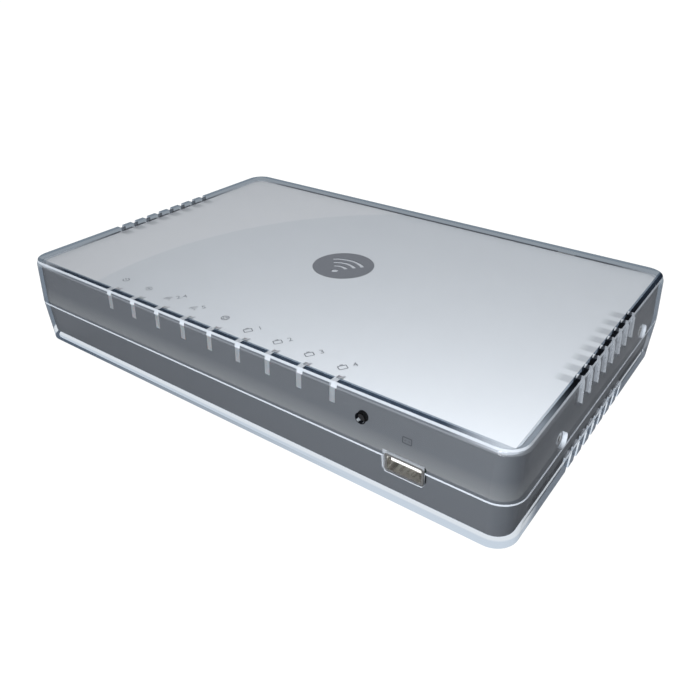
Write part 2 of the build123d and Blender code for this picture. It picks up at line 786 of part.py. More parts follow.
def make_jack(x):
    """One eight-contact network jack with a stepped cavity for the plug's latch."""
    width, depth, height = jack_size
    bore_width, bore_depth, bore_height = jack_bore
    floor = board_top + jack_bore_lift
    jack = block((x - width / 2, x + width / 2), (jack_face - depth, jack_face),
                 (board_top, board_top + height))
    deep = (jack_face - bore_depth, jack_face + overrun)
    jack -= block((x - bore_width / 2, x + bore_width / 2), deep, (floor, floor + bore_height))
    latch_width, latch_height = jack_latch
    jack -= block((x - latch_width / 2, x + latch_width / 2), deep, (floor - latch_height, floor))
    return jack


def make_jack_contacts():
    """Eight spring contacts in each of the five jacks."""
    width, length, height = jack_pin
    top = board_top + jack_bore_lift + jack_bore[2]
    back = jack_face - jack_bore[1]
    group = []
    for x in [wan_jack_x] + lan_places:
        for offset in rows(jack_pins, jack_pin_pitch):
            middle = x + offset
            group.append(block((middle - width / 2, middle + width / 2), (back, back + length),
                               (top - height, top)))
    return Compound(children=group)


def make_dc_jack():
    """Barrel power inlet."""
    width, depth, height = dc_jack_size
    jack = block((dc_jack_x - width / 2, dc_jack_x + width / 2), (jack_face - depth, jack_face),
                 (board_top, board_top + height))
    middle = board_top + height / 2
    bore = (jack_face - dc_bore_depth, jack_face + overrun)
    return jack - rod_along_y(dc_jack_x, bore, middle, dc_bore_radius)


def make_dc_jack_pin():
    """Centre pin of the power inlet."""
    middle = board_top + dc_jack_size[2] / 2
    back = jack_face - dc_bore_depth
    return rod_along_y(dc_jack_x, (back, jack_face - dc_pin_setback), middle, dc_pin_radius)


switch_front = panel_face - rear_panel_thickness - power_travel - power_collar_room


def make_power_switch():
    """Latching push switch on the main board."""
    width, depth, height = power_switch_size
    switch = block((power_x - width / 2, power_x + width / 2), (switch_front - depth, switch_front),
                   (board_top, board_top + height))
    middle = board_top + height / 2
    half = power_stem / 2 + port_gap
    return switch - block((power_x - half, power_x + half),
                          (switch_front - power_switch_bore, switch_front),
                          (middle - half, middle + half))


def make_power_button():
    """Square cap of the power switch, with a collar behind the rear panel."""
    middle = board_top + power_switch_size[2] / 2
    half = power_cap_side / 2
    collar_back = switch_front + power_travel + collar_gap
    cap = block((power_x - half, power_x + half), (collar_back, panel_face + power_cap_proud),
                (middle - half, middle + half))
    cap = fillet(cap.edges().group_by(Axis.Y)[-1], power_edge)
    collar = half + power_collar_lip
    cap += block((power_x - collar, power_x + collar),
                 (collar_back, panel_face - rear_panel_thickness - collar_gap),
                 (middle - collar, middle + collar))
    half = power_stem / 2
    return cap + block((power_x - half, power_x + half),
                       (switch_front - power_stem_reach, collar_back),
                       (middle - half, middle + half))


pairing_collar = (panel_face - rear_panel_thickness - pairing_flange_depth,
                  panel_face - rear_panel_thickness - collar_gap)


def make_pairing_switch():
    """Small push switch on the main board for pairing."""
    width, depth, height = pairing_switch_size
    nub_end = pairing_collar[0] - pairing_travel - switch_gap
    front = nub_end - pairing_nub
    switch = block((pairing_x - width / 2, pairing_x + width / 2), (front - depth, front),
                   (board_top, board_top + height))
    return switch + rod_along_y(pairing_x, (front, nub_end), pairing_z, pairing_nub_radius)


def make_pairing_button():
    """Round pairing button with a collar behind the rear panel."""
    cap = rod_along_y(pairing_x, (pairing_collar[0], panel_face + pairing_cap_proud),
                      pairing_z, pairing_cap_radius)
    cap = fillet(cap.edges().group_by(Axis.Y)[-1], pairing_edge)
    return cap + rod_along_y(pairing_x, pairing_collar, pairing_z, pairing_flange_radius)


def make_lock_slot_insert():
    """Steel block behind the back wall with the slot for a cable lock."""
    back = back_y - skin_wall - liner_gap - wall_at(lock_slot_z) - lock_block_setback
    front = back - lock_block_depth
    insert = block((lock_x - lock_block_width / 2, lock_x + lock_block_width / 2),
                   (front, back), (lock_block_bottom, deck_level - liner_gap))
    slot = block((lock_x - lock_slot[0] / 2, lock_x + lock_slot[0] / 2),
                 (front - overrun, back + overrun),
                 (lock_slot_z - lock_slot[1] / 2, lock_slot_z + lock_slot[1] / 2))
    return insert - slot


# ---------------------------------------------------------------- main board and what it carries
def make_main_board():
    """Main circuit board on the tray's standoffs."""
    plan = RectangleRounded(board_width, board_depth, board_corner)
    board = extrude(Pos(0, 0, board_bottom) * plan, board_thickness)
    for x, y in board_hole_places:
        board -= post(x, y, (board_bottom, board_top), board_screw_radius + screw_clearance)
    return board


def chip(place, size, stand=0.0):
    """A flat package on the main board, centred at a place."""
    x, y = place
    return block((x - size[0] / 2, x + size[0] / 2), (y - size[1] / 2, y + size[1] / 2),
                 (board_top + stand, board_top + stand + size[2]))


def make_heatsink():
    """Finned heatsink over the processor."""
    base_z = processor_height + pad_thickness
    x, y = processor_place
    sink = chip(processor_place, (heatsink_side, heatsink_side, heatsink_base), base_z)
    pitch = (heatsink_side - heatsink_fin) / (heatsink_fins - 1)
    fin = (heatsink_fin, heatsink_side, heatsink_height - heatsink_base)
    for across in rows(heatsink_fins, pitch):
        sink += chip((x + across, y), fin, base_z + heatsink_base)
    return sink


def make_radio_shield(place):
    """Pressed steel can over a radio section, pierced by a grid of round holes."""
    x, y = place
    width, depth, height = shield_size
    inside = (width - 2 * shield_wall, depth - 2 * shield_wall, height - shield_wall)
    can = chip(place, shield_size) - chip(place, inside)
    lid = (board_top + height - shield_wall, board_top + height)
    across, along = shield_holes
    for dx in rows(across, width / (across + 1)):
        for dy in rows(along, depth / (along + 1)):
            can -= post(x + dx, y + dy, lid, shield_hole_radius)
    return can


def make_capacitors():
    """Round electrolytic capacitors by the power inlet."""
    height = (board_top, board_top + capacitor_height)
    return Compound(children=[post(power_x + x, y, height, capacitor_radius)
                              for x, y in capacitor_places])


def make_inductors():
    """Square power inductors."""
    return Compound(children=[chip((power_x + x, y), inductor_size)
                              for x, y in inductor_places])


def make_crystals():
    """Metal-cased clock crystals."""
    return Compound(children=[chip(place, crystal_size) for place in crystal_places])


def make_transformers():
    """Line transformers, one behind each network jack."""
    y = jack_face - jack_size[1] - transformer_gap
    return Compound(children=[chip((x, y), transformer_size) for x in [wan_jack_x] + lan_places])


def make_antenna(side):
    """Folded sheet-metal antenna on the board, its two feet at its outer end."""
    reach, fold, height = antenna_size
    x = side * (board_width / 2 - antenna_inset)
    ends = (x - reach / 2, x + reach / 2)
    sheet = (antenna_y, antenna_y + antenna_sheet)
    top = board_top + height
    antenna = block(ends, sheet, (top - antenna_band, top))
    antenna += block(ends, (antenna_y, antenna_y + fold), (top - antenna_sheet, top))
    for along in antenna_feet:
        foot = x + side * (reach / 2 - along)
        antenna += block((foot - antenna_foot / 2, foot + antenna_foot / 2), sheet,
                         (board_top, top - antenna_band / 2))
    return antenna


# ---------------------------------------------------------------- fasteners, feet, label
def cross_recess(x, y, z, size):
    """The cross for the driver in a screw's head."""
    length, width, depth = size
    return Pos(x, y, z) * (Box(length, width, depth) + Box(width, length, depth))


def make_case_screws():
    """Four screws from below that hold the two halves together."""
    group = []
    for x, y in case_screw_places:
        seat = tray_bottom + case_head_depth
        screw = post(x, y, (seat - case_screw_head, seat), case_screw_head_radius)
        screw += post(x, y, (seat, seat + case_screw_length), case_screw_radius - thread_depth)
        group.append(screw - cross_recess(x, y, seat - case_screw_head, case_screw_recess))
    return Compound(children=group)


def make_board_screws():
    """Four screws that hold the main board to the tray."""
    group = []
    for x, y in board_hole_places:
        head = (board_top, board_top + board_screw_head)
        screw = post(x, y, head, board_screw_head_radius)
        screw += post(x, y, (board_top - board_screw_length, board_top),
                      board_screw_radius - thread_depth)
        group.append(screw - cross_recess(x, y, head[1], board_screw_recess))
    return Compound(children=group)


def make_side_inserts():
    """Threaded inserts behind the round holes in the sides."""
    group = []
    start = case_width / 2 - skin_wall - liner_gap - wall_at(side_hole_z) - insert_gap
    for side in (-1, 1):
        ends = sorted((side * start, side * (start - insert_length)))
        for y in side_hole_places:
            insert = rod_along_x(ends, y, side_hole_z, insert_radius - insert_press)
            group.append(insert - rod_along_x(ends, y, side_hole_z, insert_bore_radius))
    return Compound(children=group)


def make_feet():
    """Four round rubber feet under the clear floor."""
    group = []
    for x, y in foot_places:
        foot = post(x, y, (0, plate_bottom), foot_radius)
        group.append(chamfer(foot.edges().group_by(Axis.Z)[0], foot_edge))
    return Compound(children=group)


def make_label():
    """Blank label under the floor."""
    plan = RectangleRounded(label_size[0], label_size[1], label_corner)
    return extrude(Pos(0, label_y, plate_bottom - label_thickness) * plan, label_thickness)


# ---------------------------------------------------------------- write every piece
os.makedirs("parts", exist_ok=True)

export("top_cover_clear", make_top_cover_clear())
export("top_cover_body", make_top_cover_body())
export("silver_panel", make_silver_panel())
export("top_emblem", make_top_emblem())
export("base_cover_clear", make_base_cover_clear())
export("base_tray", make_base_tray())
export("light_guide_comb", make_light_guide())
export("light_board", make_light_board())
export("status_leds", make_status_leds())
export("board_header", make_board_header())
export("reset_button", make_reset_button())
export("reset_switch", make_reset_switch())
export("usb_shell", make_usb_shell())
export("usb_tongue", make_usb_tongue())
export("usb_contacts", make_usb_contacts())
export("rear_panel", make_rear_panel())
export("wan_jack", make_jack(wan_jack_x))
for number, jack_x in enumerate(lan_places, start=1):
    export(f"lan_jack_{number}", make_jack(jack_x))
export("jack_contacts", make_jack_contacts())
export("dc_jack", make_dc_jack())
export("dc_jack_pin", make_dc_jack_pin())
export("power_switch", make_power_switch())
export("power_button", make_power_button())
export("pairing_switch", make_pairing_switch())
export("pairing_button", make_pairing_button())
export("lock_slot_insert", make_lock_slot_insert())
export("main_board", make_main_board())
export("processor", chip(processor_place, (processor_side, processor_side, processor_height)))
export("thermal_pad", chip(processor_place, (processor_side, processor_side, pad_thickness),
                           processor_height))
export("processor_heatsink", make_heatsink())
export("memory_chip", chip(memory_place, memory_size))
export("flash_chip", chip(flash_place, flash_size))
export("ethernet_switch_chip", chip(switch_chip_place, switch_chip_size))
export("radio_shield_low_band", make_radio_shield(low_band_place))
export("radio_shield_high_band", make_radio_shield(high_band_place))
export("line_transformers", make_transformers())
export("electrolytic_capacitors", make_capacitors())
export("power_inductors", make_inductors())
export("clock_crystals", make_crystals())
export("antenna_left", make_antenna(-1))
export("antenna_right", make_antenna(1))
export("case_screws", make_case_screws())
export("board_screws", make_board_screws())
export("side_inserts", make_side_inserts())
export("rubber_feet", make_feet())
export("rating_label", make_label())
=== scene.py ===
import json
import math

import bmesh
import bpy
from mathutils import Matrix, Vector


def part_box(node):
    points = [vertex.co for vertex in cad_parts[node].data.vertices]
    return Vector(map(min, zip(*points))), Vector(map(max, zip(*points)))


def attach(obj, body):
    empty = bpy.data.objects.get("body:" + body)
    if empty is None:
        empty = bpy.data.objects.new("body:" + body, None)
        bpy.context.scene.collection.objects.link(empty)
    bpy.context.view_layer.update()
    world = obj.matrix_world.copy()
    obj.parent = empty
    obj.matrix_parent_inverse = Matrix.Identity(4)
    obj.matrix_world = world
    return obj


# Looks for a flat desktop wireless router: clear covers over painted shells.
# Everything is in metres in the frame's own axes: X right, front face towards -Y, Z up.

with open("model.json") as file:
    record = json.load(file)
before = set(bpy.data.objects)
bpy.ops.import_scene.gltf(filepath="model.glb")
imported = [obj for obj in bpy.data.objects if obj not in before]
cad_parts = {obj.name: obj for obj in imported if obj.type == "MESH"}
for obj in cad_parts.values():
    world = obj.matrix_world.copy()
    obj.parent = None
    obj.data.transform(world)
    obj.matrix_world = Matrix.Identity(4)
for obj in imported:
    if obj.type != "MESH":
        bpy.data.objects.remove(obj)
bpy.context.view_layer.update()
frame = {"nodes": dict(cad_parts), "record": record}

MM = 0.001

# ---------------------------------------------------------------- camera and light
CAMERA_AZIMUTH = 35.44            # degrees, from straight in front towards the right
CAMERA_ELEVATION = 31.15
CAMERA_DISTANCE = 0.3094
CAMERA_TARGET = (0.0092, -0.0005, 0.0)
CAMERA_LENS = 35.92               # millimetres
CAMERA_SENSOR = 36.0
CAMERA_SHIFT = (-0.0139, -0.0011)

WORLD_STRENGTH = 0.75
HORIZON_GREY = (0.45, 0.46, 0.475)
SKY_FADE = (0.30, 0.80)           # parts of the way up
LIGHT_HEIGHT = 0.25               # metres
LIGHTS = (                        # name, place, target, width in metres, power in watts
    ("back_softbox", (-0.25, 0.55, 1.0), (0.05, -0.03, 0.03), 1.0, 8.8),
    ("front_fill", (0.28, -0.72, 0.13), (0.09, -0.07, 0.02), 0.4, 9.8),
    ("side_fill", (0.62, -0.66, 0.16), (0.11, -0.07, 0.02), 0.35, 0.5),
)
FLOOR_SEEN = 1.0                  # glow of the floor for the camera
FLOOR_CAST = 0.0                  # and for what it lights
FLOOR_BOUNCE = (0.16, 0.165, 0.175)
FLOOR_DARK = (0.02, 0.02, 0.02)
FLOOR_REACH = 6.0

# ---------------------------------------------------------------- places taken from the frame
panel_low, panel_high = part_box("silver_panel")
guide_low, guide_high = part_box("light_guide_comb")
body_low, body_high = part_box("top_cover_body")
cover_low, cover_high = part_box("top_cover_clear")
base_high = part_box("base_cover_clear")[1]
usb_low, usb_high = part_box("usb_shell")
reset_low, reset_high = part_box("reset_button")
SEAM = cover_low[2]
DECK = panel_high[2]

LIGHT_COUNT = 9
LIGHT_WIDTH = 2.2 * MM
light_pitch = (guide_high[0] - guide_low[0] - LIGHT_WIDTH) / (LIGHT_COUNT - 1)
light_places = [guide_low[0] + LIGHT_WIDTH / 2 + i * light_pitch for i in range(LIGHT_COUNT)]
reset_x = (reset_low[0] + reset_high[0]) / 2
reset_z = (reset_low[2] + reset_high[2]) / 2
CORNER = 9.0 * MM                 # the covers' outer corner radius at the seam
WALL_LEAN = math.tan(math.radians(3.0))
HOLE_Y = (-0.0382, 0.0466)        # the bores in the sides
HOLE_Z = SEAM + 2.95 * MM

# ---------------------------------------------------------------- colours, linear
DARK_GREY = (0.085, 0.092, 0.102)
# Painted reflection: the dark paint's lighter grey just above the seam.
SEAM_SHEEN_GREY = (0.135, 0.142, 0.148)
RIM_NAVY = (0.004, 0.010, 0.020)
# Painted reflection: the navy rim's grey near the corners.
RIM_REFLECTION_GREY = (0.32, 0.345, 0.375)
SILVER = (0.50, 0.522, 0.545)
SILVER_OUTSIDE = (0.558, 0.57, 0.585)
CLEAR_TINT = (0.968, 0.973, 0.98)
# Painted shade: the tints below, down to the reset hole's, darken what shows through the clear covers
# in their zones; the skirt's is partly the plastic's own blue.
SILHOUETTE_SHADE = (0.17, 0.21, 0.26)
SKIRT_TINT_AND_SHADE = (0.76, 0.81, 0.865)
SIDE_SKIRT_SHADE = (0.26, 0.29, 0.33)
EXIT_SHADE = (0.24, 0.28, 0.32)
SKIRT_EDGE_SHADE = (0.12, 0.15, 0.19)
MARGIN_OUTER_SHADE = (0.05, 0.07, 0.10)
MARGIN_INNER_SHADE = (0.34, 0.39, 0.45)
MARGIN_CORNER_SHADE = (0.62, 0.65, 0.68)
MARGIN_FAR_SHADE = (0.74, 0.78, 0.82)
SLOT_SHADE = (0.16, 0.18, 0.21)
PIN_SHADE = (0.03, 0.034, 0.04)
# Milky cut faces, also used for the painted highlight along the slope's upper edge.
FROST_AND_HIGHLIGHT = (0.42, 0.455, 0.50)
PRINT_GREY = (0.12, 0.13, 0.15)
# Painted shadow: the grey of the bars on the silver beside the vent slots.
VENT_SHADOW_GREY = (0.20, 0.215, 0.235)
FLAKE_CONTRAST = 0.08
VENT_CENTRE = 0.0006              # metres, Y of the vent rows' middle
VENT_PITCH = 0.00745
CAP_SHIFT = 1.75 * MM             # lit caps on the bevel, ahead of the bars behind them
GAP_SHIFT = 1.3 * MM
ARC_CENTRE = (0.0610, -0.0450)    # metres, on the top panel
ARC_RADIUS = 0.1377
ARC_SOFT = 0.3 * MM

# ---------------------------------------------------------------- fades on the painted pieces
# Each pair is the soft edge of a zone: nothing at the first number, all of it at the second.
# Painted reflection: where the dark paint turns lighter above the seam.
SEAM_SHEEN_TOP = (SEAM + 7.0 * MM, SEAM + 0.5 * MM)
SEAM_SHEEN_FOOT = (SEAM - 0.3 * MM, SEAM)
# Painted reflection: where the navy rim turns grey, near the corners.
RIM_REFLECTION_X = (cover_high[0] - 24.0 * MM, cover_high[0] - 6.0 * MM)
RIM_REFLECTION_Y = (cover_high[1] - 44.0 * MM, cover_high[1] - 18.0 * MM)
RIM_PAINT_FOOT = (DECK - 0.7 * MM, DECK - 0.5 * MM)
# Painted shadow bars on the silver beside the vent slots.
VENT_SHADOW_HALF = (0.34, 0.22)      # in vent pitches
VENT_SHADOW_START = (panel_high[0] - 6.5 * MM, panel_high[0] - 3.5 * MM)
VENT_SHADOW_ROW = (4.0 * VENT_PITCH, 3.95 * VENT_PITCH)
VENT_SHADOW_SHARE = 0.5

# ---------------------------------------------------------------- fades on the clear covers
# Each pair is the soft edge of a zone: nothing at the first number, all of it at the second.
# Places are metres; the ones marked as facing are parts of the surface's unit normal.
EDGE = 0.2 * MM
# The clear skirt under the painted tray: its pale blue is partly the plastic's own and partly painted
# shade, with a painted dark line along its foot.
SKIRT_TOP = (4.4 * MM, 3.6 * MM)
OUTLINE_TOP = (1.3 * MM, 1.0 * MM)
OUTLINE_FADE = (60.0 * MM, -90.0 * MM)
# Painted reflection of the dark tray on the skirt's sides, away from the front.
SIDE_SKIRT_TOP = (8.5 * MM, 7.5 * MM)
SIDE_SKIRT_FRONT = (-60.0 * MM, -52.0 * MM)
SIDE_SKIRT_ENDS = (104.0 * MM, 107.0 * MM)
SIDE_SKIRT_FACING = (0.5, 0.7)    # facing
FRONT_WALL = (-60.0 * MM, -65.0 * MM)
LIGHT_ROW_START = (-0.5, -0.45)   # in light pitches from the first light
LIGHT_ROW_END = (8.5, 8.45)
GAP_HALF = (0.085, 0.075)         # in light pitches
CAP_HALF = (0.095, 0.075)
# The top plate's rim, which carries painted shade.
RIM_RISE = 0.5 * MM               # panel to where the top plate's rim starts
RIM_STEP = 0.7 * MM               # panel's edge to the rim's darker outer part
RIM_SIDE_ENDS = (-30.0 * MM, -55.0 * MM)
RIM_FRONT_ENDS = (90.0 * MM, 108.0 * MM)
OUTER_SKIN = (CORNER - 1.0 * MM, CORNER - 0.6 * MM)
# Painted shade where sight leaves the rim on the far sides.
FAR_RIM_FOOT = (DECK - 3.0 * MM, DECK - 2.6 * MM)
FAR_RIM_SKIN = (CORNER - 3.2 * MM, CORNER - 3.0 * MM)
FAR_RIM_OUTSIDE = (CORNER - 0.9 * MM, CORNER - 0.6 * MM)
FAR_RIM_LEFT = (-104.0 * MM, -107.0 * MM)
FAR_RIM_BACK = (64.0 * MM, 66.0 * MM)
VENT_ROW_ENDS = (62.0 * MM, 60.0 * MM)
VENT_ZONE = (110.5 * MM, 110.8 * MM)
# Painted shade at the inner end walls of the vent slots.
SLOT_END = (112.4 * MM, 112.2 * MM)
SLOT_END_FOOT = (DECK - 0.4 * MM, DECK - 0.2 * MM)
SLOT_GLOSS_START = (110.8 * MM, 111.0 * MM)
SLOT_WALL_START = (112.5 * MM, 112.7 * MM)
# Painted shade in the reset pinhole.
RESET_HOLE = (2.1 * MM, 2.0 * MM)
# Painted highlight along the slope's upper edge.
HIGHLIGHT_LINE = (DECK + 1.0 * MM, DECK + 1.35 * MM)
OPENING_DEPTH = (70.8 * MM, 71.2 * MM)
OPENING_ENDS = (104.0 * MM, 102.0 * MM)
OPENING_TOP = (24.0 * MM, 22.0 * MM)
BORE_RIM = (3.0 * MM, 2.9 * MM)
BORE_DEPTH = (110.0 * MM, 111.0 * MM)
LINTEL_FOOT = 0.1 * MM            # port's top to the lintel
LINTEL_TOP = 1.75 * MM
LINTEL_PAST = 0.6 * MM            # port's side to the lintel's end
LINTEL_SOFT = 0.15 * MM
LINTEL_SOFT_END = 0.3 * MM
TURNING = (0.08, 0.3)             # facing
UNDERSIDE = (0.88, 0.92)          # facing
FLAT = (0.9, 0.95)                # facing
NOT_FLAT = (0.8, 0.7)             # facing
SLOPE_FOOT = (0.2, 0.3)           # facing
CHAMFER_LOW = (0.5, 0.6)          # facing
CHAMFER_HIGH = (0.93, 0.88)       # facing
SIDEWAYS = (0.8, 0.9)             # facing
SLOT_WALL = (0.75, 0.85)          # facing
OPENING_FACING = (0.6, 0.8)       # facing
BORE_FACING = (0.6, 0.5)          # facing
FORWARD = (-0.9, -0.95)           # facing

# ---------------------------------------------------------------- shares, 0 to 1
GAP_SHARE = 0.7                   # of the rim's dark lost at each light
DULL_SHARE = 0.9                  # of the gloss lost on rims, slots and the reset hole
VENT_CHAMFER_CUT = 0.8            # of the chamfers' milk lost at the vents
CHAMFER_SHARE = 0.85              # the rest are how milky a cut face is
SLOPE_SHARE = 0.16
# The slope's bright upper edge is a painted highlight.
HIGHLIGHT_SHARE = 0.62
CAP_SHARE = 0.8
LINTEL_SHARE = 0.38
SLOT_SHARE = 0.4
OPENING_SHARE = 0.9
BORE_SHARE = 0.95
GLOSS_INDEX = 1.42


# ---------------------------------------------------------------- node helpers
class Material:
    """A node material with a Principled shader and short ways to add nodes."""

    def __init__(self, name):
        self.material = bpy.data.materials.new(name)
        self.material.use_nodes = True
        self.tree = self.material.node_tree
        self.output = self.tree.nodes["Material Output"]
        self.shader = self.tree.nodes["Principled BSDF"]

    def node(self, kind, **settings):
        made = self.tree.nodes.new(kind)
        for key, value in settings.items():
            setattr(made, key, value)
        return made

    def link(self, start, end):
        self.tree.links.new(start, end)

    def set(self, **values):
        """Sets uniform values on the shader's own sockets."""
        for key, value in values.items():
            socket = key.replace("_", " ").title().replace("Ior", "IOR")
            self.shader.inputs[socket].default_value = value

    def place(self):
        return self.node("ShaderNodeTexCoord").outputs["Object"]

    def noise(self, scale, detail=2.0, roughness=0.5, vector=None):
        noise = self.node("ShaderNodeTexNoise")
        noise.inputs["Scale"].default_value = scale
        noise.inputs["Detail"].default_value = detail
        noise.inputs["Roughness"].default_value = roughness
        self.link(vector or self.place(), noise.inputs["Vector"])
        return noise.outputs["Fac"]

    def ramp(self, factor, low, high, start=0.35, end=0.65):
        """A colour ramp between two colours or two numbers."""
        ramp = self.node("ShaderNodeValToRGB")
        ramp.color_ramp.elements[0].position = start
        ramp.color_ramp.elements[1].position = end
        ramp.color_ramp.elements[0].color = as_colour(low)
        ramp.color_ramp.elements[1].color = as_colour(high)
        self.link(factor, ramp.inputs["Fac"])
        return ramp.outputs["Color"]

    def remap(self, factor, low, high):
        """Maps 0..1 to low..high."""
        change = self.node("ShaderNodeMapRange")
        change.inputs["To Min"].default_value = low
        change.inputs["To Max"].default_value = high
        self.link(factor, change.inputs["Value"])
        return change.outputs["Result"]

    def math(self, operation, first, second=None):
        """One math node; the arguments are sockets or numbers."""
        made = self.node("ShaderNodeMath", operation=operation)
        for socket, value in zip(made.inputs, (first, second)):
            if value is None:
                continue
            if isinstance(value, (int, float)):
                socket.default_value = value
            else:
                self.link(value, socket)
        return made.outputs["Value"]

    def rise(self, value, start, end):
        """0 before start, 1 after end; start may be the larger one."""
        change = self.node("ShaderNodeMapRange")
        change.inputs["From Min"].default_value = start
        change.inputs["From Max"].default_value = end
        self.link(value, change.inputs["Value"])
        return change.outputs["Result"]

    def both(self, *factors):
        result = factors[0]
        for factor in factors[1:]:
            result = self.math("MULTIPLY", result, factor)
        return result

    def any(self, *factors):
        result = factors[0]
        for factor in factors[1:]:
            result = self.math("MAXIMUM", result, factor)
        return result

    def reach(self, first, first_zero, second, second_zero):
        """Distance from a point in one plane."""
        one = self.math("SUBTRACT", first, first_zero)
        two = self.math("SUBTRACT", second, second_zero)
        return self.math("SQRT", self.math("ADD", self.math("MULTIPLY", one, one),
                                           self.math("MULTIPLY", two, two)))

    def axes(self, vector):
        split = self.node("ShaderNodeSeparateXYZ")
        self.link(vector, split.inputs["Vector"])
        return split.outputs["X"], split.outputs["Y"], split.outputs["Z"]

    def facing(self):
        """The object-space normal as three sockets."""
        return self.axes(self.node("ShaderNodeTexCoord").outputs["Normal"])

    def blend(self, factor, low, high):
        """Mixes two colours; each is a socket or three numbers."""
        mix = self.node("ShaderNodeMix", data_type="RGBA")
        self.link(factor, mix.inputs["Factor"])
        for index, value in ((6, low), (7, high)):
            if isinstance(value, tuple):
                mix.inputs[index].default_value = as_colour(value)
            else:
                self.link(value, mix.inputs[index])
        return mix.outputs[2]

    def layer(self, factor, under, over):
        """Mixes two shaders."""
        mix = self.node("ShaderNodeMixShader")
        self.link(factor, mix.inputs["Fac"])
        self.link(under, mix.inputs[1])
        self.link(over, mix.inputs[2])
        return mix.outputs["Shader"]

    def bump(self, height, strength, distance):
        bump = self.node("ShaderNodeBump")
        bump.inputs["Strength"].default_value = strength
        bump.inputs["Distance"].default_value = distance
        self.link(height, bump.inputs["Height"])
        self.link(bump.outputs["Normal"], self.shader.inputs["Normal"])


def as_colour(value):
    if isinstance(value, (int, float)):
        return (value, value, value, 1.0)
    return (*value[:3], 1.0)


# ---------------------------------------------------------------- materials
def moulded_plastic(name, colour, roughness, grain=2600.0, depth=0.00002, shade=0.82, specular=0.5):
    """Moulded plastic: fine spark-eroded grain, slight colour drift, uneven gloss."""
    made = Material(name)
    dark = tuple(channel * shade for channel in colour)
    made.link(made.ramp(made.noise(70.0, 3.0), dark, colour), made.shader.inputs["Base Color"])
    grain_noise = made.noise(grain, 3.0, 0.6)
    made.link(made.remap(grain_noise, roughness * 0.85, roughness * 1.2),
              made.shader.inputs["Roughness"])
    made.bump(grain_noise, 0.35, depth)
    made.set(specular_ior_level=specular)
    return made.material


def fine_paint(name, colour, roughness, metal):
    """Satin paint with fine metal flake."""
    made = Material(name)
    flakes = made.node("ShaderNodeTexVoronoi")
    flakes.inputs["Scale"].default_value = 9000.0
    made.link(made.place(), flakes.inputs["Vector"])
    dark = tuple(channel * (1 - FLAKE_CONTRAST) for channel in colour)
    light = tuple(min(1.0, channel * (1 + FLAKE_CONTRAST)) for channel in colour)
    made.link(made.ramp(flakes.outputs["Distance"], light, dark, 0.1, 0.7),
              made.shader.inputs["Base Color"])
    made.link(made.remap(made.noise(500.0, 3.0), roughness * 0.9, roughness * 1.12),
              made.shader.inputs["Roughness"])
    made.bump(made.noise(5200.0, 2.0), 0.12, 0.000012)
    made.set(metallic=metal)
    return made.material


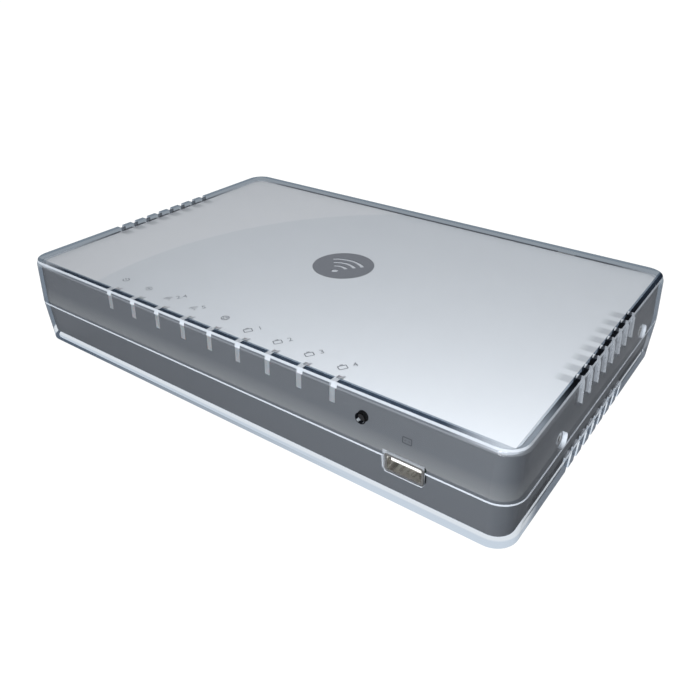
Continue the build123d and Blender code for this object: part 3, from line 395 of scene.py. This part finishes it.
class ClearCover(Material):
    """The clear covers' zones, told apart by where a point is and which way it faces."""

    def __init__(self, name):
        super().__init__(name)
        self.x, self.y, self.z = self.axes(self.place())
        facing_x, self.facing_y, facing_z = self.facing()
        self.far_x, self.far_y = self.size_of(self.x), self.size_of(self.y)
        self.side, self.front = self.size_of(facing_x), self.size_of(self.facing_y)
        self.up = self.size_of(facing_z)
        self.leaving = self.node("ShaderNodeNewGeometry").outputs["Backfacing"]
        self.outward = self.math("SUBTRACT", 1.0, self.leaving)
        level = self.math("MULTIPLY", self.size_of(self.math("SUBTRACT", self.z, SEAM)), WALL_LEAN)
        self.arc = self.math("ADD", level, self.reach(self.far_x, base_high[0] - CORNER,
                                                      self.far_y, base_high[1] - CORNER))
        self.above_deck = self.rise(self.z, DECK, DECK + EDGE)
        self.vent_rows = self.rise(self.far_y, *VENT_ROW_ENDS)

    def size_of(self, value):
        return self.math("ABSOLUTE", value)

    def part(self, factor, share):
        return self.math("MULTIPLY", factor, share)

    def less(self, factor, share):
        """What is left when a share of a zone is taken away."""
        return self.math("SUBTRACT", 1.0, self.part(factor, share))

    def past_panel(self, start=0.0):
        """Outside the silver panel's edge, on all four sides."""
        return self.any(self.rise(self.far_x, panel_high[0] + start, panel_high[0] + start + EDGE),
                        self.rise(self.far_y, panel_high[1] + start, panel_high[1] + start + EDGE))

    def silhouette(self):
        """Rounded corners of the outer wall, darkened with painted shade for the dark the curved
        plastic gathers.
        """
        turning = self.rise(self.math("MINIMUM", self.side, self.front), *TURNING)
        return self.both(turning, self.leaving, self.rise(self.arc, *OUTER_SKIN))

    # Painted shade: a dark line along the skirt's bottom face.
    def skirt_outline(self):
        return self.both(self.rise(self.z, *OUTLINE_TOP), self.rise(self.up, *UNDERSIDE),
                         self.rise(self.x, *OUTLINE_FADE))

    # Painted reflection: the skirt's sides darkened by the dark tray they would reflect.
    def side_skirt(self):
        return self.both(self.rise(self.z, *SIDE_SKIRT_TOP), self.rise(self.y, *SIDE_SKIRT_FRONT),
                         self.rise(self.far_x, *SIDE_SKIRT_ENDS),
                         self.rise(self.side, *SIDE_SKIRT_FACING))

    def lights(self, shift, half):
        """A short zone at each light along the front edge, moved sideways by shift."""
        place = self.math("MULTIPLY", self.math("SUBTRACT", self.x, light_places[0]),
                          1.0 / light_pitch)
        row = self.both(self.rise(self.y, *FRONT_WALL), self.rise(place, *LIGHT_ROW_START),
                        self.rise(place, *LIGHT_ROW_END))
        turn = self.math("FRACT", self.math("ADD", place, 0.5 - shift / light_pitch))
        return self.both(self.rise(self.size_of(self.math("SUBTRACT", turn, 0.5)), *half), row)

    def margin(self):
        """Flat rim of the top plate, outside the silver panel."""
        return self.both(self.rise(self.up, *FLAT), self.rise(self.z, DECK, DECK + RIM_RISE),
                         self.past_panel(), self.less(self.lights(GAP_SHIFT, GAP_HALF), GAP_SHARE))

    def margin_tint(self):
        """Painted shade in the rim: dark outside and paler inside, pale grey near the corners and on
        the far sides.
        """
        side_ends = self.both(self.rise(self.far_x, panel_high[0], panel_high[0] + EDGE),
                              self.rise(self.y, *RIM_SIDE_ENDS))
        front_ends = self.both(self.rise(self.far_y, panel_high[1], panel_high[1] + EDGE),
                               self.rise(self.far_x, *RIM_FRONT_ENDS))
        far_sides = self.any(self.rise(self.x, -panel_high[0], -panel_high[0] - EDGE),
                             self.rise(self.y, panel_high[1], panel_high[1] + EDGE))
        tint_and_shade = self.blend(self.past_panel(RIM_STEP), MARGIN_INNER_SHADE, MARGIN_OUTER_SHADE)
        tint_and_shade = self.blend(self.any(side_ends, front_ends), tint_and_shade, MARGIN_CORNER_SHADE)
        return self.blend(far_sides, tint_and_shade, MARGIN_FAR_SHADE)

    def far_rim(self):
        """Where sight leaves the rim again, on the left side and the back: painted shade."""
        return self.both(self.leaving, self.rise(self.z, *FAR_RIM_FOOT), self.rise(self.up, *NOT_FLAT),
                         self.rise(self.arc, *FAR_RIM_SKIN),
                         self.any(self.rise(self.x, *FAR_RIM_LEFT), self.rise(self.y, *FAR_RIM_BACK)),
                         self.any(self.above_deck, self.rise(self.arc, *FAR_RIM_OUTSIDE)))

    # Painted shade: the vent slots' end walls, darkened.
    def slot_end(self):
        return self.both(self.rise(self.side, *SIDEWAYS), self.rise(self.far_x, *SLOT_END),
                         self.rise(self.z, *SLOT_END_FOOT))

    def slot_side(self, start):
        """Side walls of the upper vent slots."""
        return self.both(self.rise(self.far_x, *start), self.rise(self.front, *SLOT_WALL),
                         self.vent_rows)

    # Painted shade: the reset pinhole in the front wall, nearly black.
    def reset_pin(self):
        return self.both(self.rise(self.reach(self.x, reset_x, self.z, reset_z), *RESET_HOLE),
                         self.rise(self.y, *FRONT_WALL))

    def leaning(self):
        """The slope round the top plate."""
        return self.both(self.rise(self.up, *SLOPE_FOOT), self.rise(self.up, *NOT_FLAT),
                         self.above_deck)

    def chamfer(self):
        """Small chamfers along the seam and the rims, fainter at the vents."""
        vents = self.both(self.rise(self.far_x, *VENT_ZONE), self.vent_rows, self.above_deck)
        return self.both(self.rise(self.up, *CHAMFER_LOW), self.rise(self.up, *CHAMFER_HIGH),
                         self.less(vents, VENT_CHAMFER_CUT))

    def bevel(self):
        """How pale the slope is: a little milk all over, and a painted highlight along its upper edge.
        """
        upper = self.part(self.rise(self.z, *HIGHLIGHT_LINE), HIGHLIGHT_SHARE)
        return self.both(self.leaning(), self.math("ADD", SLOPE_SHARE, upper))

    def rear_opening(self):
        return self.both(self.rise(self.far_y, *OPENING_DEPTH), self.rise(self.side, *OPENING_FACING),
                         self.rise(self.far_x, *OPENING_ENDS), self.rise(self.z, *OPENING_TOP))

    def side_bores(self):
        holes = self.any(*[self.rise(self.reach(self.y, hole, self.z, HOLE_Z), *BORE_RIM)
                           for hole in HOLE_Y])
        return self.both(holes, self.rise(self.side, *BORE_FACING), self.rise(self.far_x, *BORE_DEPTH))

    def lintel(self):
        """Pale cut face above the front port."""
        left, right = usb_low[0] - LINTEL_PAST, usb_high[0] + LINTEL_PAST
        foot, top = usb_high[2] + LINTEL_FOOT, usb_high[2] + LINTEL_TOP
        return self.both(self.rise(self.facing_y, *FORWARD), self.rise(self.z, foot, foot + EDGE),
                         self.rise(self.z, top, top - LINTEL_SOFT),
                         self.rise(self.x, left, left + LINTEL_SOFT_END),
                         self.rise(self.x, right, right - LINTEL_SOFT_END))

    def cut_faces(self):
        """Every face that is milky instead of clear, with how milky it is; along the slope's upper
        edge the milk is a painted highlight.
        """
        caps = self.both(self.leaning(), self.lights(CAP_SHIFT, CAP_HALF))
        return self.any(self.part(self.chamfer(), CHAMFER_SHARE), self.bevel(),
                        self.part(caps, CAP_SHARE),
                        self.part(self.lintel(), LINTEL_SHARE),
                        self.part(self.slot_side(SLOT_WALL_START), SLOT_SHARE),
                        self.part(self.rear_opening(), OPENING_SHARE),
                        self.part(self.side_bores(), BORE_SHARE))


def clear_plastic(name):
    """Clear polished plastic: see-through walls with painted shade in many zones, a polished face,
    pale frosted cut faces and a painted highlight along the slope.
    """
    made = ClearCover(name)
    margin, slot_end, reset_pin = made.margin(), made.slot_end(), made.reset_pin()
    # Painted shade: what shows through the plastic is darkened zone by zone, starting from the
    # plastic's own tint.
    tint_and_shade = made.blend(made.silhouette(), CLEAR_TINT, SILHOUETTE_SHADE)
    for zone, zone_tint in ((made.rise(made.z, *SKIRT_TOP), SKIRT_TINT_AND_SHADE),
                            (made.skirt_outline(), SKIRT_EDGE_SHADE),
                            (made.side_skirt(), SIDE_SKIRT_SHADE), (made.far_rim(), EXIT_SHADE),
                            (slot_end, SLOT_SHADE), (margin, made.margin_tint()),
                            (reset_pin, PIN_SHADE)):
        tint_and_shade = made.blend(zone, tint_and_shade, zone_tint)
    clear = made.node("ShaderNodeBsdfTransparent")
    made.link(tint_and_shade, clear.inputs["Color"])

    polish = made.node("ShaderNodeBsdfGlossy")
    made.link(made.remap(made.noise(240.0, 2.0), 0.02, 0.06), polish.inputs["Roughness"])
    made.link(made.ramp(made.noise(90.0, 2.0), (0.86, 0.89, 0.93), (0.93, 0.95, 0.98)),
              polish.inputs["Color"])
    fresnel = made.node("ShaderNodeFresnel")
    fresnel.inputs["IOR"].default_value = GLOSS_INDEX
    dulled = made.any(margin, slot_end, made.slot_side(SLOT_GLOSS_START), reset_pin, made.leaning())
    gloss = made.both(fresnel.outputs["Fac"], made.outward, made.less(dulled, DULL_SHARE))
    walls = made.layer(gloss, clear.outputs["BSDF"], polish.outputs["BSDF"])

    # Milky cut faces, and the painted highlight along the slope's upper edge.
    frost_and_highlight = made.node("ShaderNodeBsdfDiffuse")
    made.link(made.ramp(made.noise(800.0, 2.0), tuple(0.94 * c for c in FROST_AND_HIGHLIGHT), FROST_AND_HIGHLIGHT),
              frost_and_highlight.inputs["Color"])
    surface = made.layer(made.both(made.cut_faces(), made.outward), walls, frost_and_highlight.outputs["BSDF"])

    shade = made.node("ShaderNodeBsdfTransparent")
    shade.inputs["Color"].default_value = as_colour(CLEAR_TINT)
    path = made.node("ShaderNodeLightPath")
    made.link(made.layer(path.outputs["Is Shadow Ray"], surface, shade.outputs["BSDF"]),
              made.output.inputs["Surface"])
    made.tree.nodes.remove(made.shader)
    return made.material


def liner_paint(name):
    """Dark satin paint, lighter towards the seam by painted reflection, with a navy rim round the top
    panel that painted reflection turns grey near the corners.
    """
    made = Material(name)
    x, y, z = made.axes(made.place())
    far_x, far_y = made.math("ABSOLUTE", x), made.math("ABSOLUTE", y)
    speck = made.noise(4200.0, 2.0, 0.6)
    satin = made.ramp(speck, tuple(0.93 * channel for channel in DARK_GREY), DARK_GREY)
    # Painted reflection: lighter grey just above the seam.
    seam_sheen = made.both(made.rise(z, *SEAM_SHEEN_TOP), made.rise(z, *SEAM_SHEEN_FOOT))
    with_sheen = made.blend(seam_sheen, satin, SEAM_SHEEN_GREY)
    # Painted reflection: the rim turns grey near the corners.
    corner = made.both(made.rise(far_x, *RIM_REFLECTION_X), made.rise(far_y, *RIM_REFLECTION_Y))
    rim_colour = made.blend(corner, RIM_NAVY, RIM_REFLECTION_GREY)
    rim = made.rise(z, *RIM_PAINT_FOOT)
    made.link(made.blend(rim, with_sheen, rim_colour), made.shader.inputs["Base Color"])
    made.link(made.remap(made.noise(500.0, 3.0), 0.38, 0.5), made.shader.inputs["Roughness"])
    made.bump(made.noise(5200.0, 2.0), 0.05, 0.000006)
    made.set(metallic=0.15, specular_ior_level=0.35)
    return made.material


def silver_paint(name):
    """Satin silver with fine flake, a slightly warmer tone outside one wide arc, and painted shadow
    bars beside the vent slots.
    """
    made = Material(name)
    x, y, z = made.axes(made.place())
    reach = made.reach(x, ARC_CENTRE[0], y, ARC_CENTRE[1])
    outside = made.rise(reach, ARC_RADIUS - ARC_SOFT, ARC_RADIUS + ARC_SOFT)
    flakes = made.node("ShaderNodeTexVoronoi")
    flakes.inputs["Scale"].default_value = 7000.0
    made.link(made.place(), flakes.inputs["Vector"])
    inner = made.ramp(flakes.outputs["Distance"], SILVER, tuple(0.96 * c for c in SILVER), 0.1, 0.7)
    outer = made.ramp(flakes.outputs["Distance"], SILVER_OUTSIDE,
                      tuple(0.96 * c for c in SILVER_OUTSIDE), 0.1, 0.7)
    far_x = made.math("ABSOLUTE", x)
    # Painted shadows of the vent slots: a grey bar beside each slot.
    from_middle = made.math("SUBTRACT", y, VENT_CENTRE)
    turn = made.math("MULTIPLY", from_middle, 1.0 / VENT_PITCH)
    phase = made.math("ABSOLUTE", made.math("SUBTRACT", made.math("FRACT", turn), 0.5))
    bar = made.rise(phase, *VENT_SHADOW_HALF)
    row = made.both(made.rise(far_x, *VENT_SHADOW_START),
                    made.rise(made.math("ABSOLUTE", from_middle), *VENT_SHADOW_ROW))
    clean = made.blend(outside, inner, outer)
    shade = made.math("MULTIPLY", made.both(bar, row), VENT_SHADOW_SHARE)
    made.link(made.blend(shade, clean, VENT_SHADOW_GREY), made.shader.inputs["Base Color"])
    made.link(made.remap(made.noise(600.0, 3.0), 0.38, 0.44), made.shader.inputs["Roughness"])
    made.bump(made.noise(6000.0, 2.0), 0.08, 0.00001)
    made.set(metallic=0.75)
    return made.material


def brushed_metal(name, colour, roughness, stretch=(1.0, 14.0, 1.0), metal=1.0):
    """Sheet or turned metal with fine drawn lines."""
    made = Material(name)
    mapping = made.node("ShaderNodeMapping")
    mapping.inputs["Scale"].default_value = stretch
    made.link(made.place(), mapping.inputs["Vector"])
    lines = made.noise(900.0, 4.0, 0.6, mapping.outputs["Vector"])
    dark = tuple(channel * 0.85 for channel in colour)
    made.link(made.ramp(lines, dark, colour), made.shader.inputs["Base Color"])
    made.link(made.remap(lines, roughness * 0.7, roughness * 1.3), made.shader.inputs["Roughness"])
    made.bump(lines, 0.15, 0.00001)
    made.set(metallic=metal)
    return made.material


def milky_plastic(name, colour):
    """Milky light guide plastic with a little scatter."""
    made = Material(name)
    dark = tuple(channel * 0.9 for channel in colour)
    made.link(made.ramp(made.noise(400.0, 2.0), dark, colour), made.shader.inputs["Base Color"])
    made.link(made.remap(made.noise(900.0, 2.0), 0.25, 0.4), made.shader.inputs["Roughness"])
    made.set(subsurface_weight=0.3, subsurface_scale=0.001)
    return made.material


def circuit_board(name):
    """Solder mask with darker tracks and small pads."""
    made = Material(name)
    tracks = made.node("ShaderNodeTexBrick")
    tracks.inputs["Scale"].default_value = 160.0
    tracks.inputs["Color1"].default_value = (0.012, 0.10, 0.045, 1.0)
    tracks.inputs["Color2"].default_value = (0.016, 0.13, 0.060, 1.0)
    tracks.inputs["Mortar"].default_value = (0.03, 0.20, 0.10, 1.0)
    tracks.inputs["Mortar Size"].default_value = 0.03
    made.link(made.place(), tracks.inputs["Vector"])
    made.link(tracks.outputs["Color"], made.shader.inputs["Base Color"])
    made.link(made.remap(made.noise(800.0, 2.0), 0.25, 0.4), made.shader.inputs["Roughness"])
    made.bump(tracks.outputs["Fac"], 0.3, 0.00003)
    return made.material


# ---------------------------------------------------------------- finishes by slot
finishes = {
    "clear_plastic": clear_plastic("clear_cover"),
    "dark_grey_paint": liner_paint("dark_grey_paint"),
    "silver_paint": silver_paint("silver_paint"),
    "emblem_grey": fine_paint("emblem_grey", (0.11, 0.12, 0.14), 0.3, 0.3),
    "milky_plastic": milky_plastic("light_guide", (0.20, 0.212, 0.225)),
    "black_plastic": moulded_plastic("black_plastic", (0.008, 0.008, 0.009), 0.5, specular=0.25),
    "white_plastic": moulded_plastic("white_plastic", (0.78, 0.78, 0.76), 0.3),
    "circuit_board": circuit_board("circuit_board"),
    "chip_black": moulded_plastic("chip_epoxy", (0.022, 0.022, 0.024), 0.55, 4000.0),
    "plated_steel": brushed_metal("plated_steel", (0.72, 0.71, 0.69), 0.25),
    "contact_gold": brushed_metal("contact_gold", (0.83, 0.62, 0.28), 0.25),
    "aluminium": brushed_metal("aluminium", (0.74, 0.75, 0.76), 0.35),
    "thermal_pad": moulded_plastic("thermal_pad", (0.33, 0.40, 0.50), 0.8),
    "rubber": moulded_plastic("foot_rubber", (0.02, 0.02, 0.02), 0.75, 1400.0, 0.00005),
    "label_film": moulded_plastic("label_film", (0.72, 0.73, 0.74), 0.5, 3000.0),
}

slot_of = {part["node"]: part["material_slot"] for part in frame["record"]["subparts"]}
for node_name, node_object in frame["nodes"].items():
    for material_slot in node_object.material_slots:
        material_slot.material = finishes[slot_of[node_name]]


# ---------------------------------------------------------------- printed marks
# Marks are drawn in millimetres.
STROKE = 0.28
PLUG_STROKE = 0.32
MARK_MIDDLE = 3.2                 # along the label's own line
DIGIT_HEIGHT = 1.7
REAR_DIGIT_HEIGHT = 2.0
DASH_LENGTH = 2.6
DASH_WIDTH = 0.8
ICON_SIZE = 1.5                   # enlargement of the marks on the top panel
LABEL_TURN = math.radians(57.0)

# Places are in metres again.
LABEL_START = -5.6 * MM           # light to its label, at the first light
LABEL_DRIFT = 0.26 * MM           # further to the right at each light
LABEL_SETBACK = 5.2 * MM          # panel's front edge to the labels
DASH_START = -0.3 * MM
DASH_SETBACK = 2.0 * MM
INK_LIFT = 0.025 * MM
WALL_INK_LIFT = 0.03 * MM
WALL_INK_LEAN = 0.052             # the walls' own slope
PORT_ICON_DROP = 0.9 * MM         # reset button's foot to the port's mark
REAR_ICON_RISE = 1.2 * MM         # rear panel's top to the marks above it


class Print:
    """Flat printed shapes, drawn in millimetres and laid on a surface."""

    def __init__(self):
        self.mesh = bmesh.new()

    def face(self, points):
        self.mesh.faces.new([self.mesh.verts.new((x, y, 0.0)) for x, y in points])

    def bar(self, start, end, width):
        """A straight stroke between two points."""
        along = Vector((end[0] - start[0], end[1] - start[1])).normalized() * (width / 2)
        side = (-along.y, along.x)
        self.face([(start[0] - side[0], start[1] - side[1]), (end[0] - side[0], end[1] - side[1]),
                   (end[0] + side[0], end[1] + side[1]), (start[0] + side[0], start[1] + side[1])])

    def arc(self, centre, radius, width, first=0.0, last=360.0, squeeze=1.0):
        """A curved stroke; squeeze narrows it sideways."""
        steps = max(4, int((last - first) / 15))
        rings = []
        for i in range(steps + 1):
            angle = math.radians(first + (last - first) * i / steps)
            rings.append([(centre[0] + r * squeeze * math.cos(angle), centre[1] + r * math.sin(angle))
                          for r in (radius - width / 2, radius + width / 2)])
        for near, far in zip(rings, rings[1:]):
            self.face([near[0], near[1], far[1], far[0]])

    def digits(self, text, place, height):
        """Plain numerals."""
        curve = bpy.data.curves.new("numerals", "FONT")
        curve.body = text
        curve.size = height * 1.4
        thing = bpy.data.objects.new("numerals", curve)
        mesh = bpy.data.meshes.new_from_object(thing)
        for polygon in mesh.polygons:
            self.face([(mesh.vertices[i].co.x + place[0], mesh.vertices[i].co.y + place[1])
                       for i in polygon.vertices])
        bpy.data.objects.remove(thing)
        bpy.data.curves.remove(curve)
        bpy.data.meshes.remove(mesh)

    def lay(self, target, place, right, up, size=1.0):
        """Adds these shapes to another mesh at a place, in metres."""
        place, right, up = Vector(place), Vector(right) * size * MM, Vector(up) * size * MM
        for face in self.mesh.faces:
            corners = [target.verts.new(place + right * v.co.x + up * v.co.y) for v in face.verts]
            target.faces.new(corners)
        self.mesh.free()


def power_mark(mark, x):
    mark.arc((x, 1.0), 0.85, STROKE, 125.0, 415.0)
    mark.bar((x, 1.0), (x, 2.1), STROKE)


def pairing_mark(mark, x):
    mark.arc((x, 1.0), 0.9, STROKE, 20.0, 160.0)
    mark.arc((x, 1.0), 0.9, STROKE, 200.0, 340.0)
    mark.bar((x - 0.3, 1.0), (x + 0.3, 1.0), 0.5)


def wave_mark(mark, x):
    mark.bar((x - 0.2, 0.2), (x + 0.2, 0.2), 0.4)
    for radius in (0.9, 1.6):
        mark.arc((x, 0.2), radius, STROKE, 45.0, 135.0)


def globe_mark(mark, x):
    mark.arc((x, 1.0), 1.0, 0.24)
    mark.arc((x, 1.0), 1.0, 0.24, squeeze=0.45)
    mark.bar((x - 1.0, 1.0), (x + 1.0, 1.0), 0.22)


def jack_mark(mark, x):
    for start, end in (((-1.0, 0.0), (1.0, 0.0)), ((-1.0, 1.4), (1.0, 1.4)),
                       ((-1.0, 0.0), (-1.0, 1.4)), ((1.0, 0.0), (1.0, 1.4)),
                       ((-0.4, 1.75), (0.4, 1.75))):
        mark.bar((x + start[0], start[1]), (x + end[0], end[1]), 0.26)


def light_mark(number):
    """The pictogram for one status light."""
    mark = Print()
    if number == 0:
        power_mark(mark, MARK_MIDDLE)
    elif number == 1:
        pairing_mark(mark, MARK_MIDDLE)
    elif number in (2, 3):
        wave_mark(mark, 2.0)
        mark.digits(("2.4", "5")[number - 2], (3.9, 0.0), DIGIT_HEIGHT)
    elif number == 4:
        globe_mark(mark, MARK_MIDDLE)
    else:
        jack_mark(mark, 1.8)
        mark.digits(str(number - 4), (4.2, 0.0), DIGIT_HEIGHT)
    return mark


def finish_print(name, target, material, body="case"):
    mesh = bpy.data.meshes.new(name)
    target.to_mesh(mesh)
    target.free()
    piece = bpy.data.objects.new(name, mesh)
    bpy.context.collection.objects.link(piece)
    piece.data.materials.append(material)
    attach(piece, body)


ink = fine_paint("printed_grey", PRINT_GREY, 0.5, 0.0)
faint_ink = fine_paint("printed_faint_grey", (0.27, 0.285, 0.31), 0.5, 0.0)
dark_ink = fine_paint("printed_dark", (0.02, 0.022, 0.026), 0.5, 0.0)


def make_panel_icons():
    """A pictogram behind each status light, turned to be read from the front right."""
    right = (math.cos(LABEL_TURN), math.sin(LABEL_TURN), 0.0)
    up = (-math.sin(LABEL_TURN), math.cos(LABEL_TURN), 0.0)
    height = DECK + INK_LIFT
    marks, dashes = bmesh.new(), bmesh.new()
    for number, x in enumerate(light_places):
        place = (x + LABEL_START + LABEL_DRIFT * number, panel_low[1] + LABEL_SETBACK, height)
        light_mark(number).lay(marks, place, right, up, ICON_SIZE)
        dash = Print()
        dash.bar((0.0, 0.0), (DASH_LENGTH, 0.0), DASH_WIDTH)
        dash.lay(dashes, (x + DASH_START, panel_low[1] + DASH_SETBACK, height), right, up)
    finish_print("panel_icons", marks, ink)
    finish_print("panel_light_dashes", dashes, faint_ink)


def make_port_icon():
    """A plain plug outline above the front port, under the clear front wall."""
    mark = Print()
    for start, end in (((-1.6, 0.0), (1.6, 0.0)), ((-1.6, 2.2), (1.6, 2.2)),
                       ((-1.6, 0.0), (-1.6, 2.2)), ((1.6, 0.0), (1.6, 2.2)),
                       ((-0.9, 1.1), (-0.5, 1.1)), ((0.5, 1.1), (0.9, 1.1))):
        mark.bar(start, end, PLUG_STROKE)
    target = bmesh.new()
    height = reset_low[2] - PORT_ICON_DROP
    wall = body_low[1] + (height - SEAM) * WALL_LEAN - WALL_INK_LIFT
    middle = (usb_low[0] + usb_high[0]) / 2
    mark.lay(target, (middle, wall, height), (1, 0, 0), (0, WALL_INK_LEAN, 1))
    finish_print("front_port_icon", target, dark_ink)


def make_rear_icons():
    """Numerals and pictograms above the rear ports."""
    target = bmesh.new()
    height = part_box("rear_panel")[1][2] + REAR_ICON_RISE
    back = body_high[1] - (height - SEAM) * WALL_LEAN + WALL_INK_LIFT
    pictograms = (("wan_jack", globe_mark), ("power_switch", power_mark),
                  ("pairing_switch", pairing_mark))
    jacks = [("lan_jack_%d" % i, str(i)) for i in (1, 2, 3, 4)]
    for node, drawing in (*jacks, *pictograms):
        low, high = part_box(node)
        mark = Print()
        if isinstance(drawing, str):
            mark.digits(drawing, (-0.6, 0.0), REAR_DIGIT_HEIGHT)
        else:
            drawing(mark, 0.0)
        mark.lay(target, ((low[0] + high[0]) / 2, back, height), (-1, 0, 0), (0, -WALL_INK_LEAN, 1))
    finish_print("rear_icons", target, faint_ink)


make_panel_icons()
make_port_icon()
make_rear_icons()


# ---------------------------------------------------------------- stage
def make_floor():
    """A floor that glows white for the camera only, and can't be seen from below."""
    mesh = bpy.data.meshes.new("floor")
    builder = bmesh.new()
    bmesh.ops.create_grid(builder, x_segments=1, y_segments=1, size=FLOOR_REACH)
    builder.to_mesh(mesh)
    builder.free()
    floor = bpy.data.objects.new("floor", mesh)
    bpy.context.collection.objects.link(floor)
    made = Material("floor")
    seen = made.node("ShaderNodeLightPath").outputs["Is Camera Ray"]
    made.link(made.ramp(seen, FLOOR_BOUNCE, FLOOR_DARK, 0.0, 1.0),
              made.shader.inputs["Base Color"])
    made.set(roughness=0.9, emission_color=(1.0, 1.0, 1.0, 1.0))
    made.link(made.remap(seen, FLOOR_CAST, FLOOR_SEEN), made.shader.inputs["Emission Strength"])
    below = made.both(seen, made.node("ShaderNodeNewGeometry").outputs["Backfacing"])
    gone = made.node("ShaderNodeBsdfTransparent")
    made.link(made.layer(below, made.shader.outputs["BSDF"], gone.outputs["BSDF"]),
              made.output.inputs["Surface"])
    floor.data.materials.append(made.material)


def aim(thing, target):
    direction = Vector(target) - thing.location
    thing.rotation_euler = direction.to_track_quat("-Z", "Y").to_euler()


def area_light(name, place, target, width, power):
    lamp = bpy.data.lights.new(name, "AREA")
    lamp.shape = "RECTANGLE"
    lamp.size = width
    lamp.size_y = LIGHT_HEIGHT
    lamp.energy = power
    thing = bpy.data.objects.new(name, lamp)
    thing.location = place
    bpy.context.collection.objects.link(thing)
    aim(thing, target)


def make_lights():
    world = bpy.data.worlds.new("studio")
    world.use_nodes = True
    tree = world.node_tree
    background = tree.nodes["Background"]
    coords = tree.nodes.new("ShaderNodeTexCoord")
    split = tree.nodes.new("ShaderNodeSeparateXYZ")
    ramp = tree.nodes.new("ShaderNodeValToRGB")
    tree.links.new(coords.outputs["Generated"], split.inputs["Vector"])
    tree.links.new(split.outputs["Z"], ramp.inputs["Fac"])
    tree.links.new(ramp.outputs["Color"], background.inputs["Color"])
    for element, position, colour in zip(ramp.color_ramp.elements, SKY_FADE, (HORIZON_GREY, 1.0)):
        element.position = position
        element.color = as_colour(colour)
    background.inputs["Strength"].default_value = WORLD_STRENGTH
    bpy.context.scene.world = world
    for light in LIGHTS:
        area_light(*light)


def make_camera():
    azimuth = math.radians(CAMERA_AZIMUTH)
    elevation = math.radians(CAMERA_ELEVATION)
    back = Vector((math.sin(azimuth) * math.cos(elevation),
                   -math.cos(azimuth) * math.cos(elevation), math.sin(elevation)))
    data = bpy.data.cameras.new("camera")
    data.lens = CAMERA_LENS
    data.sensor_width = CAMERA_SENSOR
    data.shift_x, data.shift_y = CAMERA_SHIFT
    camera = bpy.data.objects.new("camera", data)
    camera.location = Vector(CAMERA_TARGET) + back * CAMERA_DISTANCE
    bpy.context.collection.objects.link(camera)
    aim(camera, CAMERA_TARGET)
    bpy.context.scene.camera = camera


make_floor()
make_lights()
make_camera()
bpy.context.scene.view_settings.view_transform = "Standard"
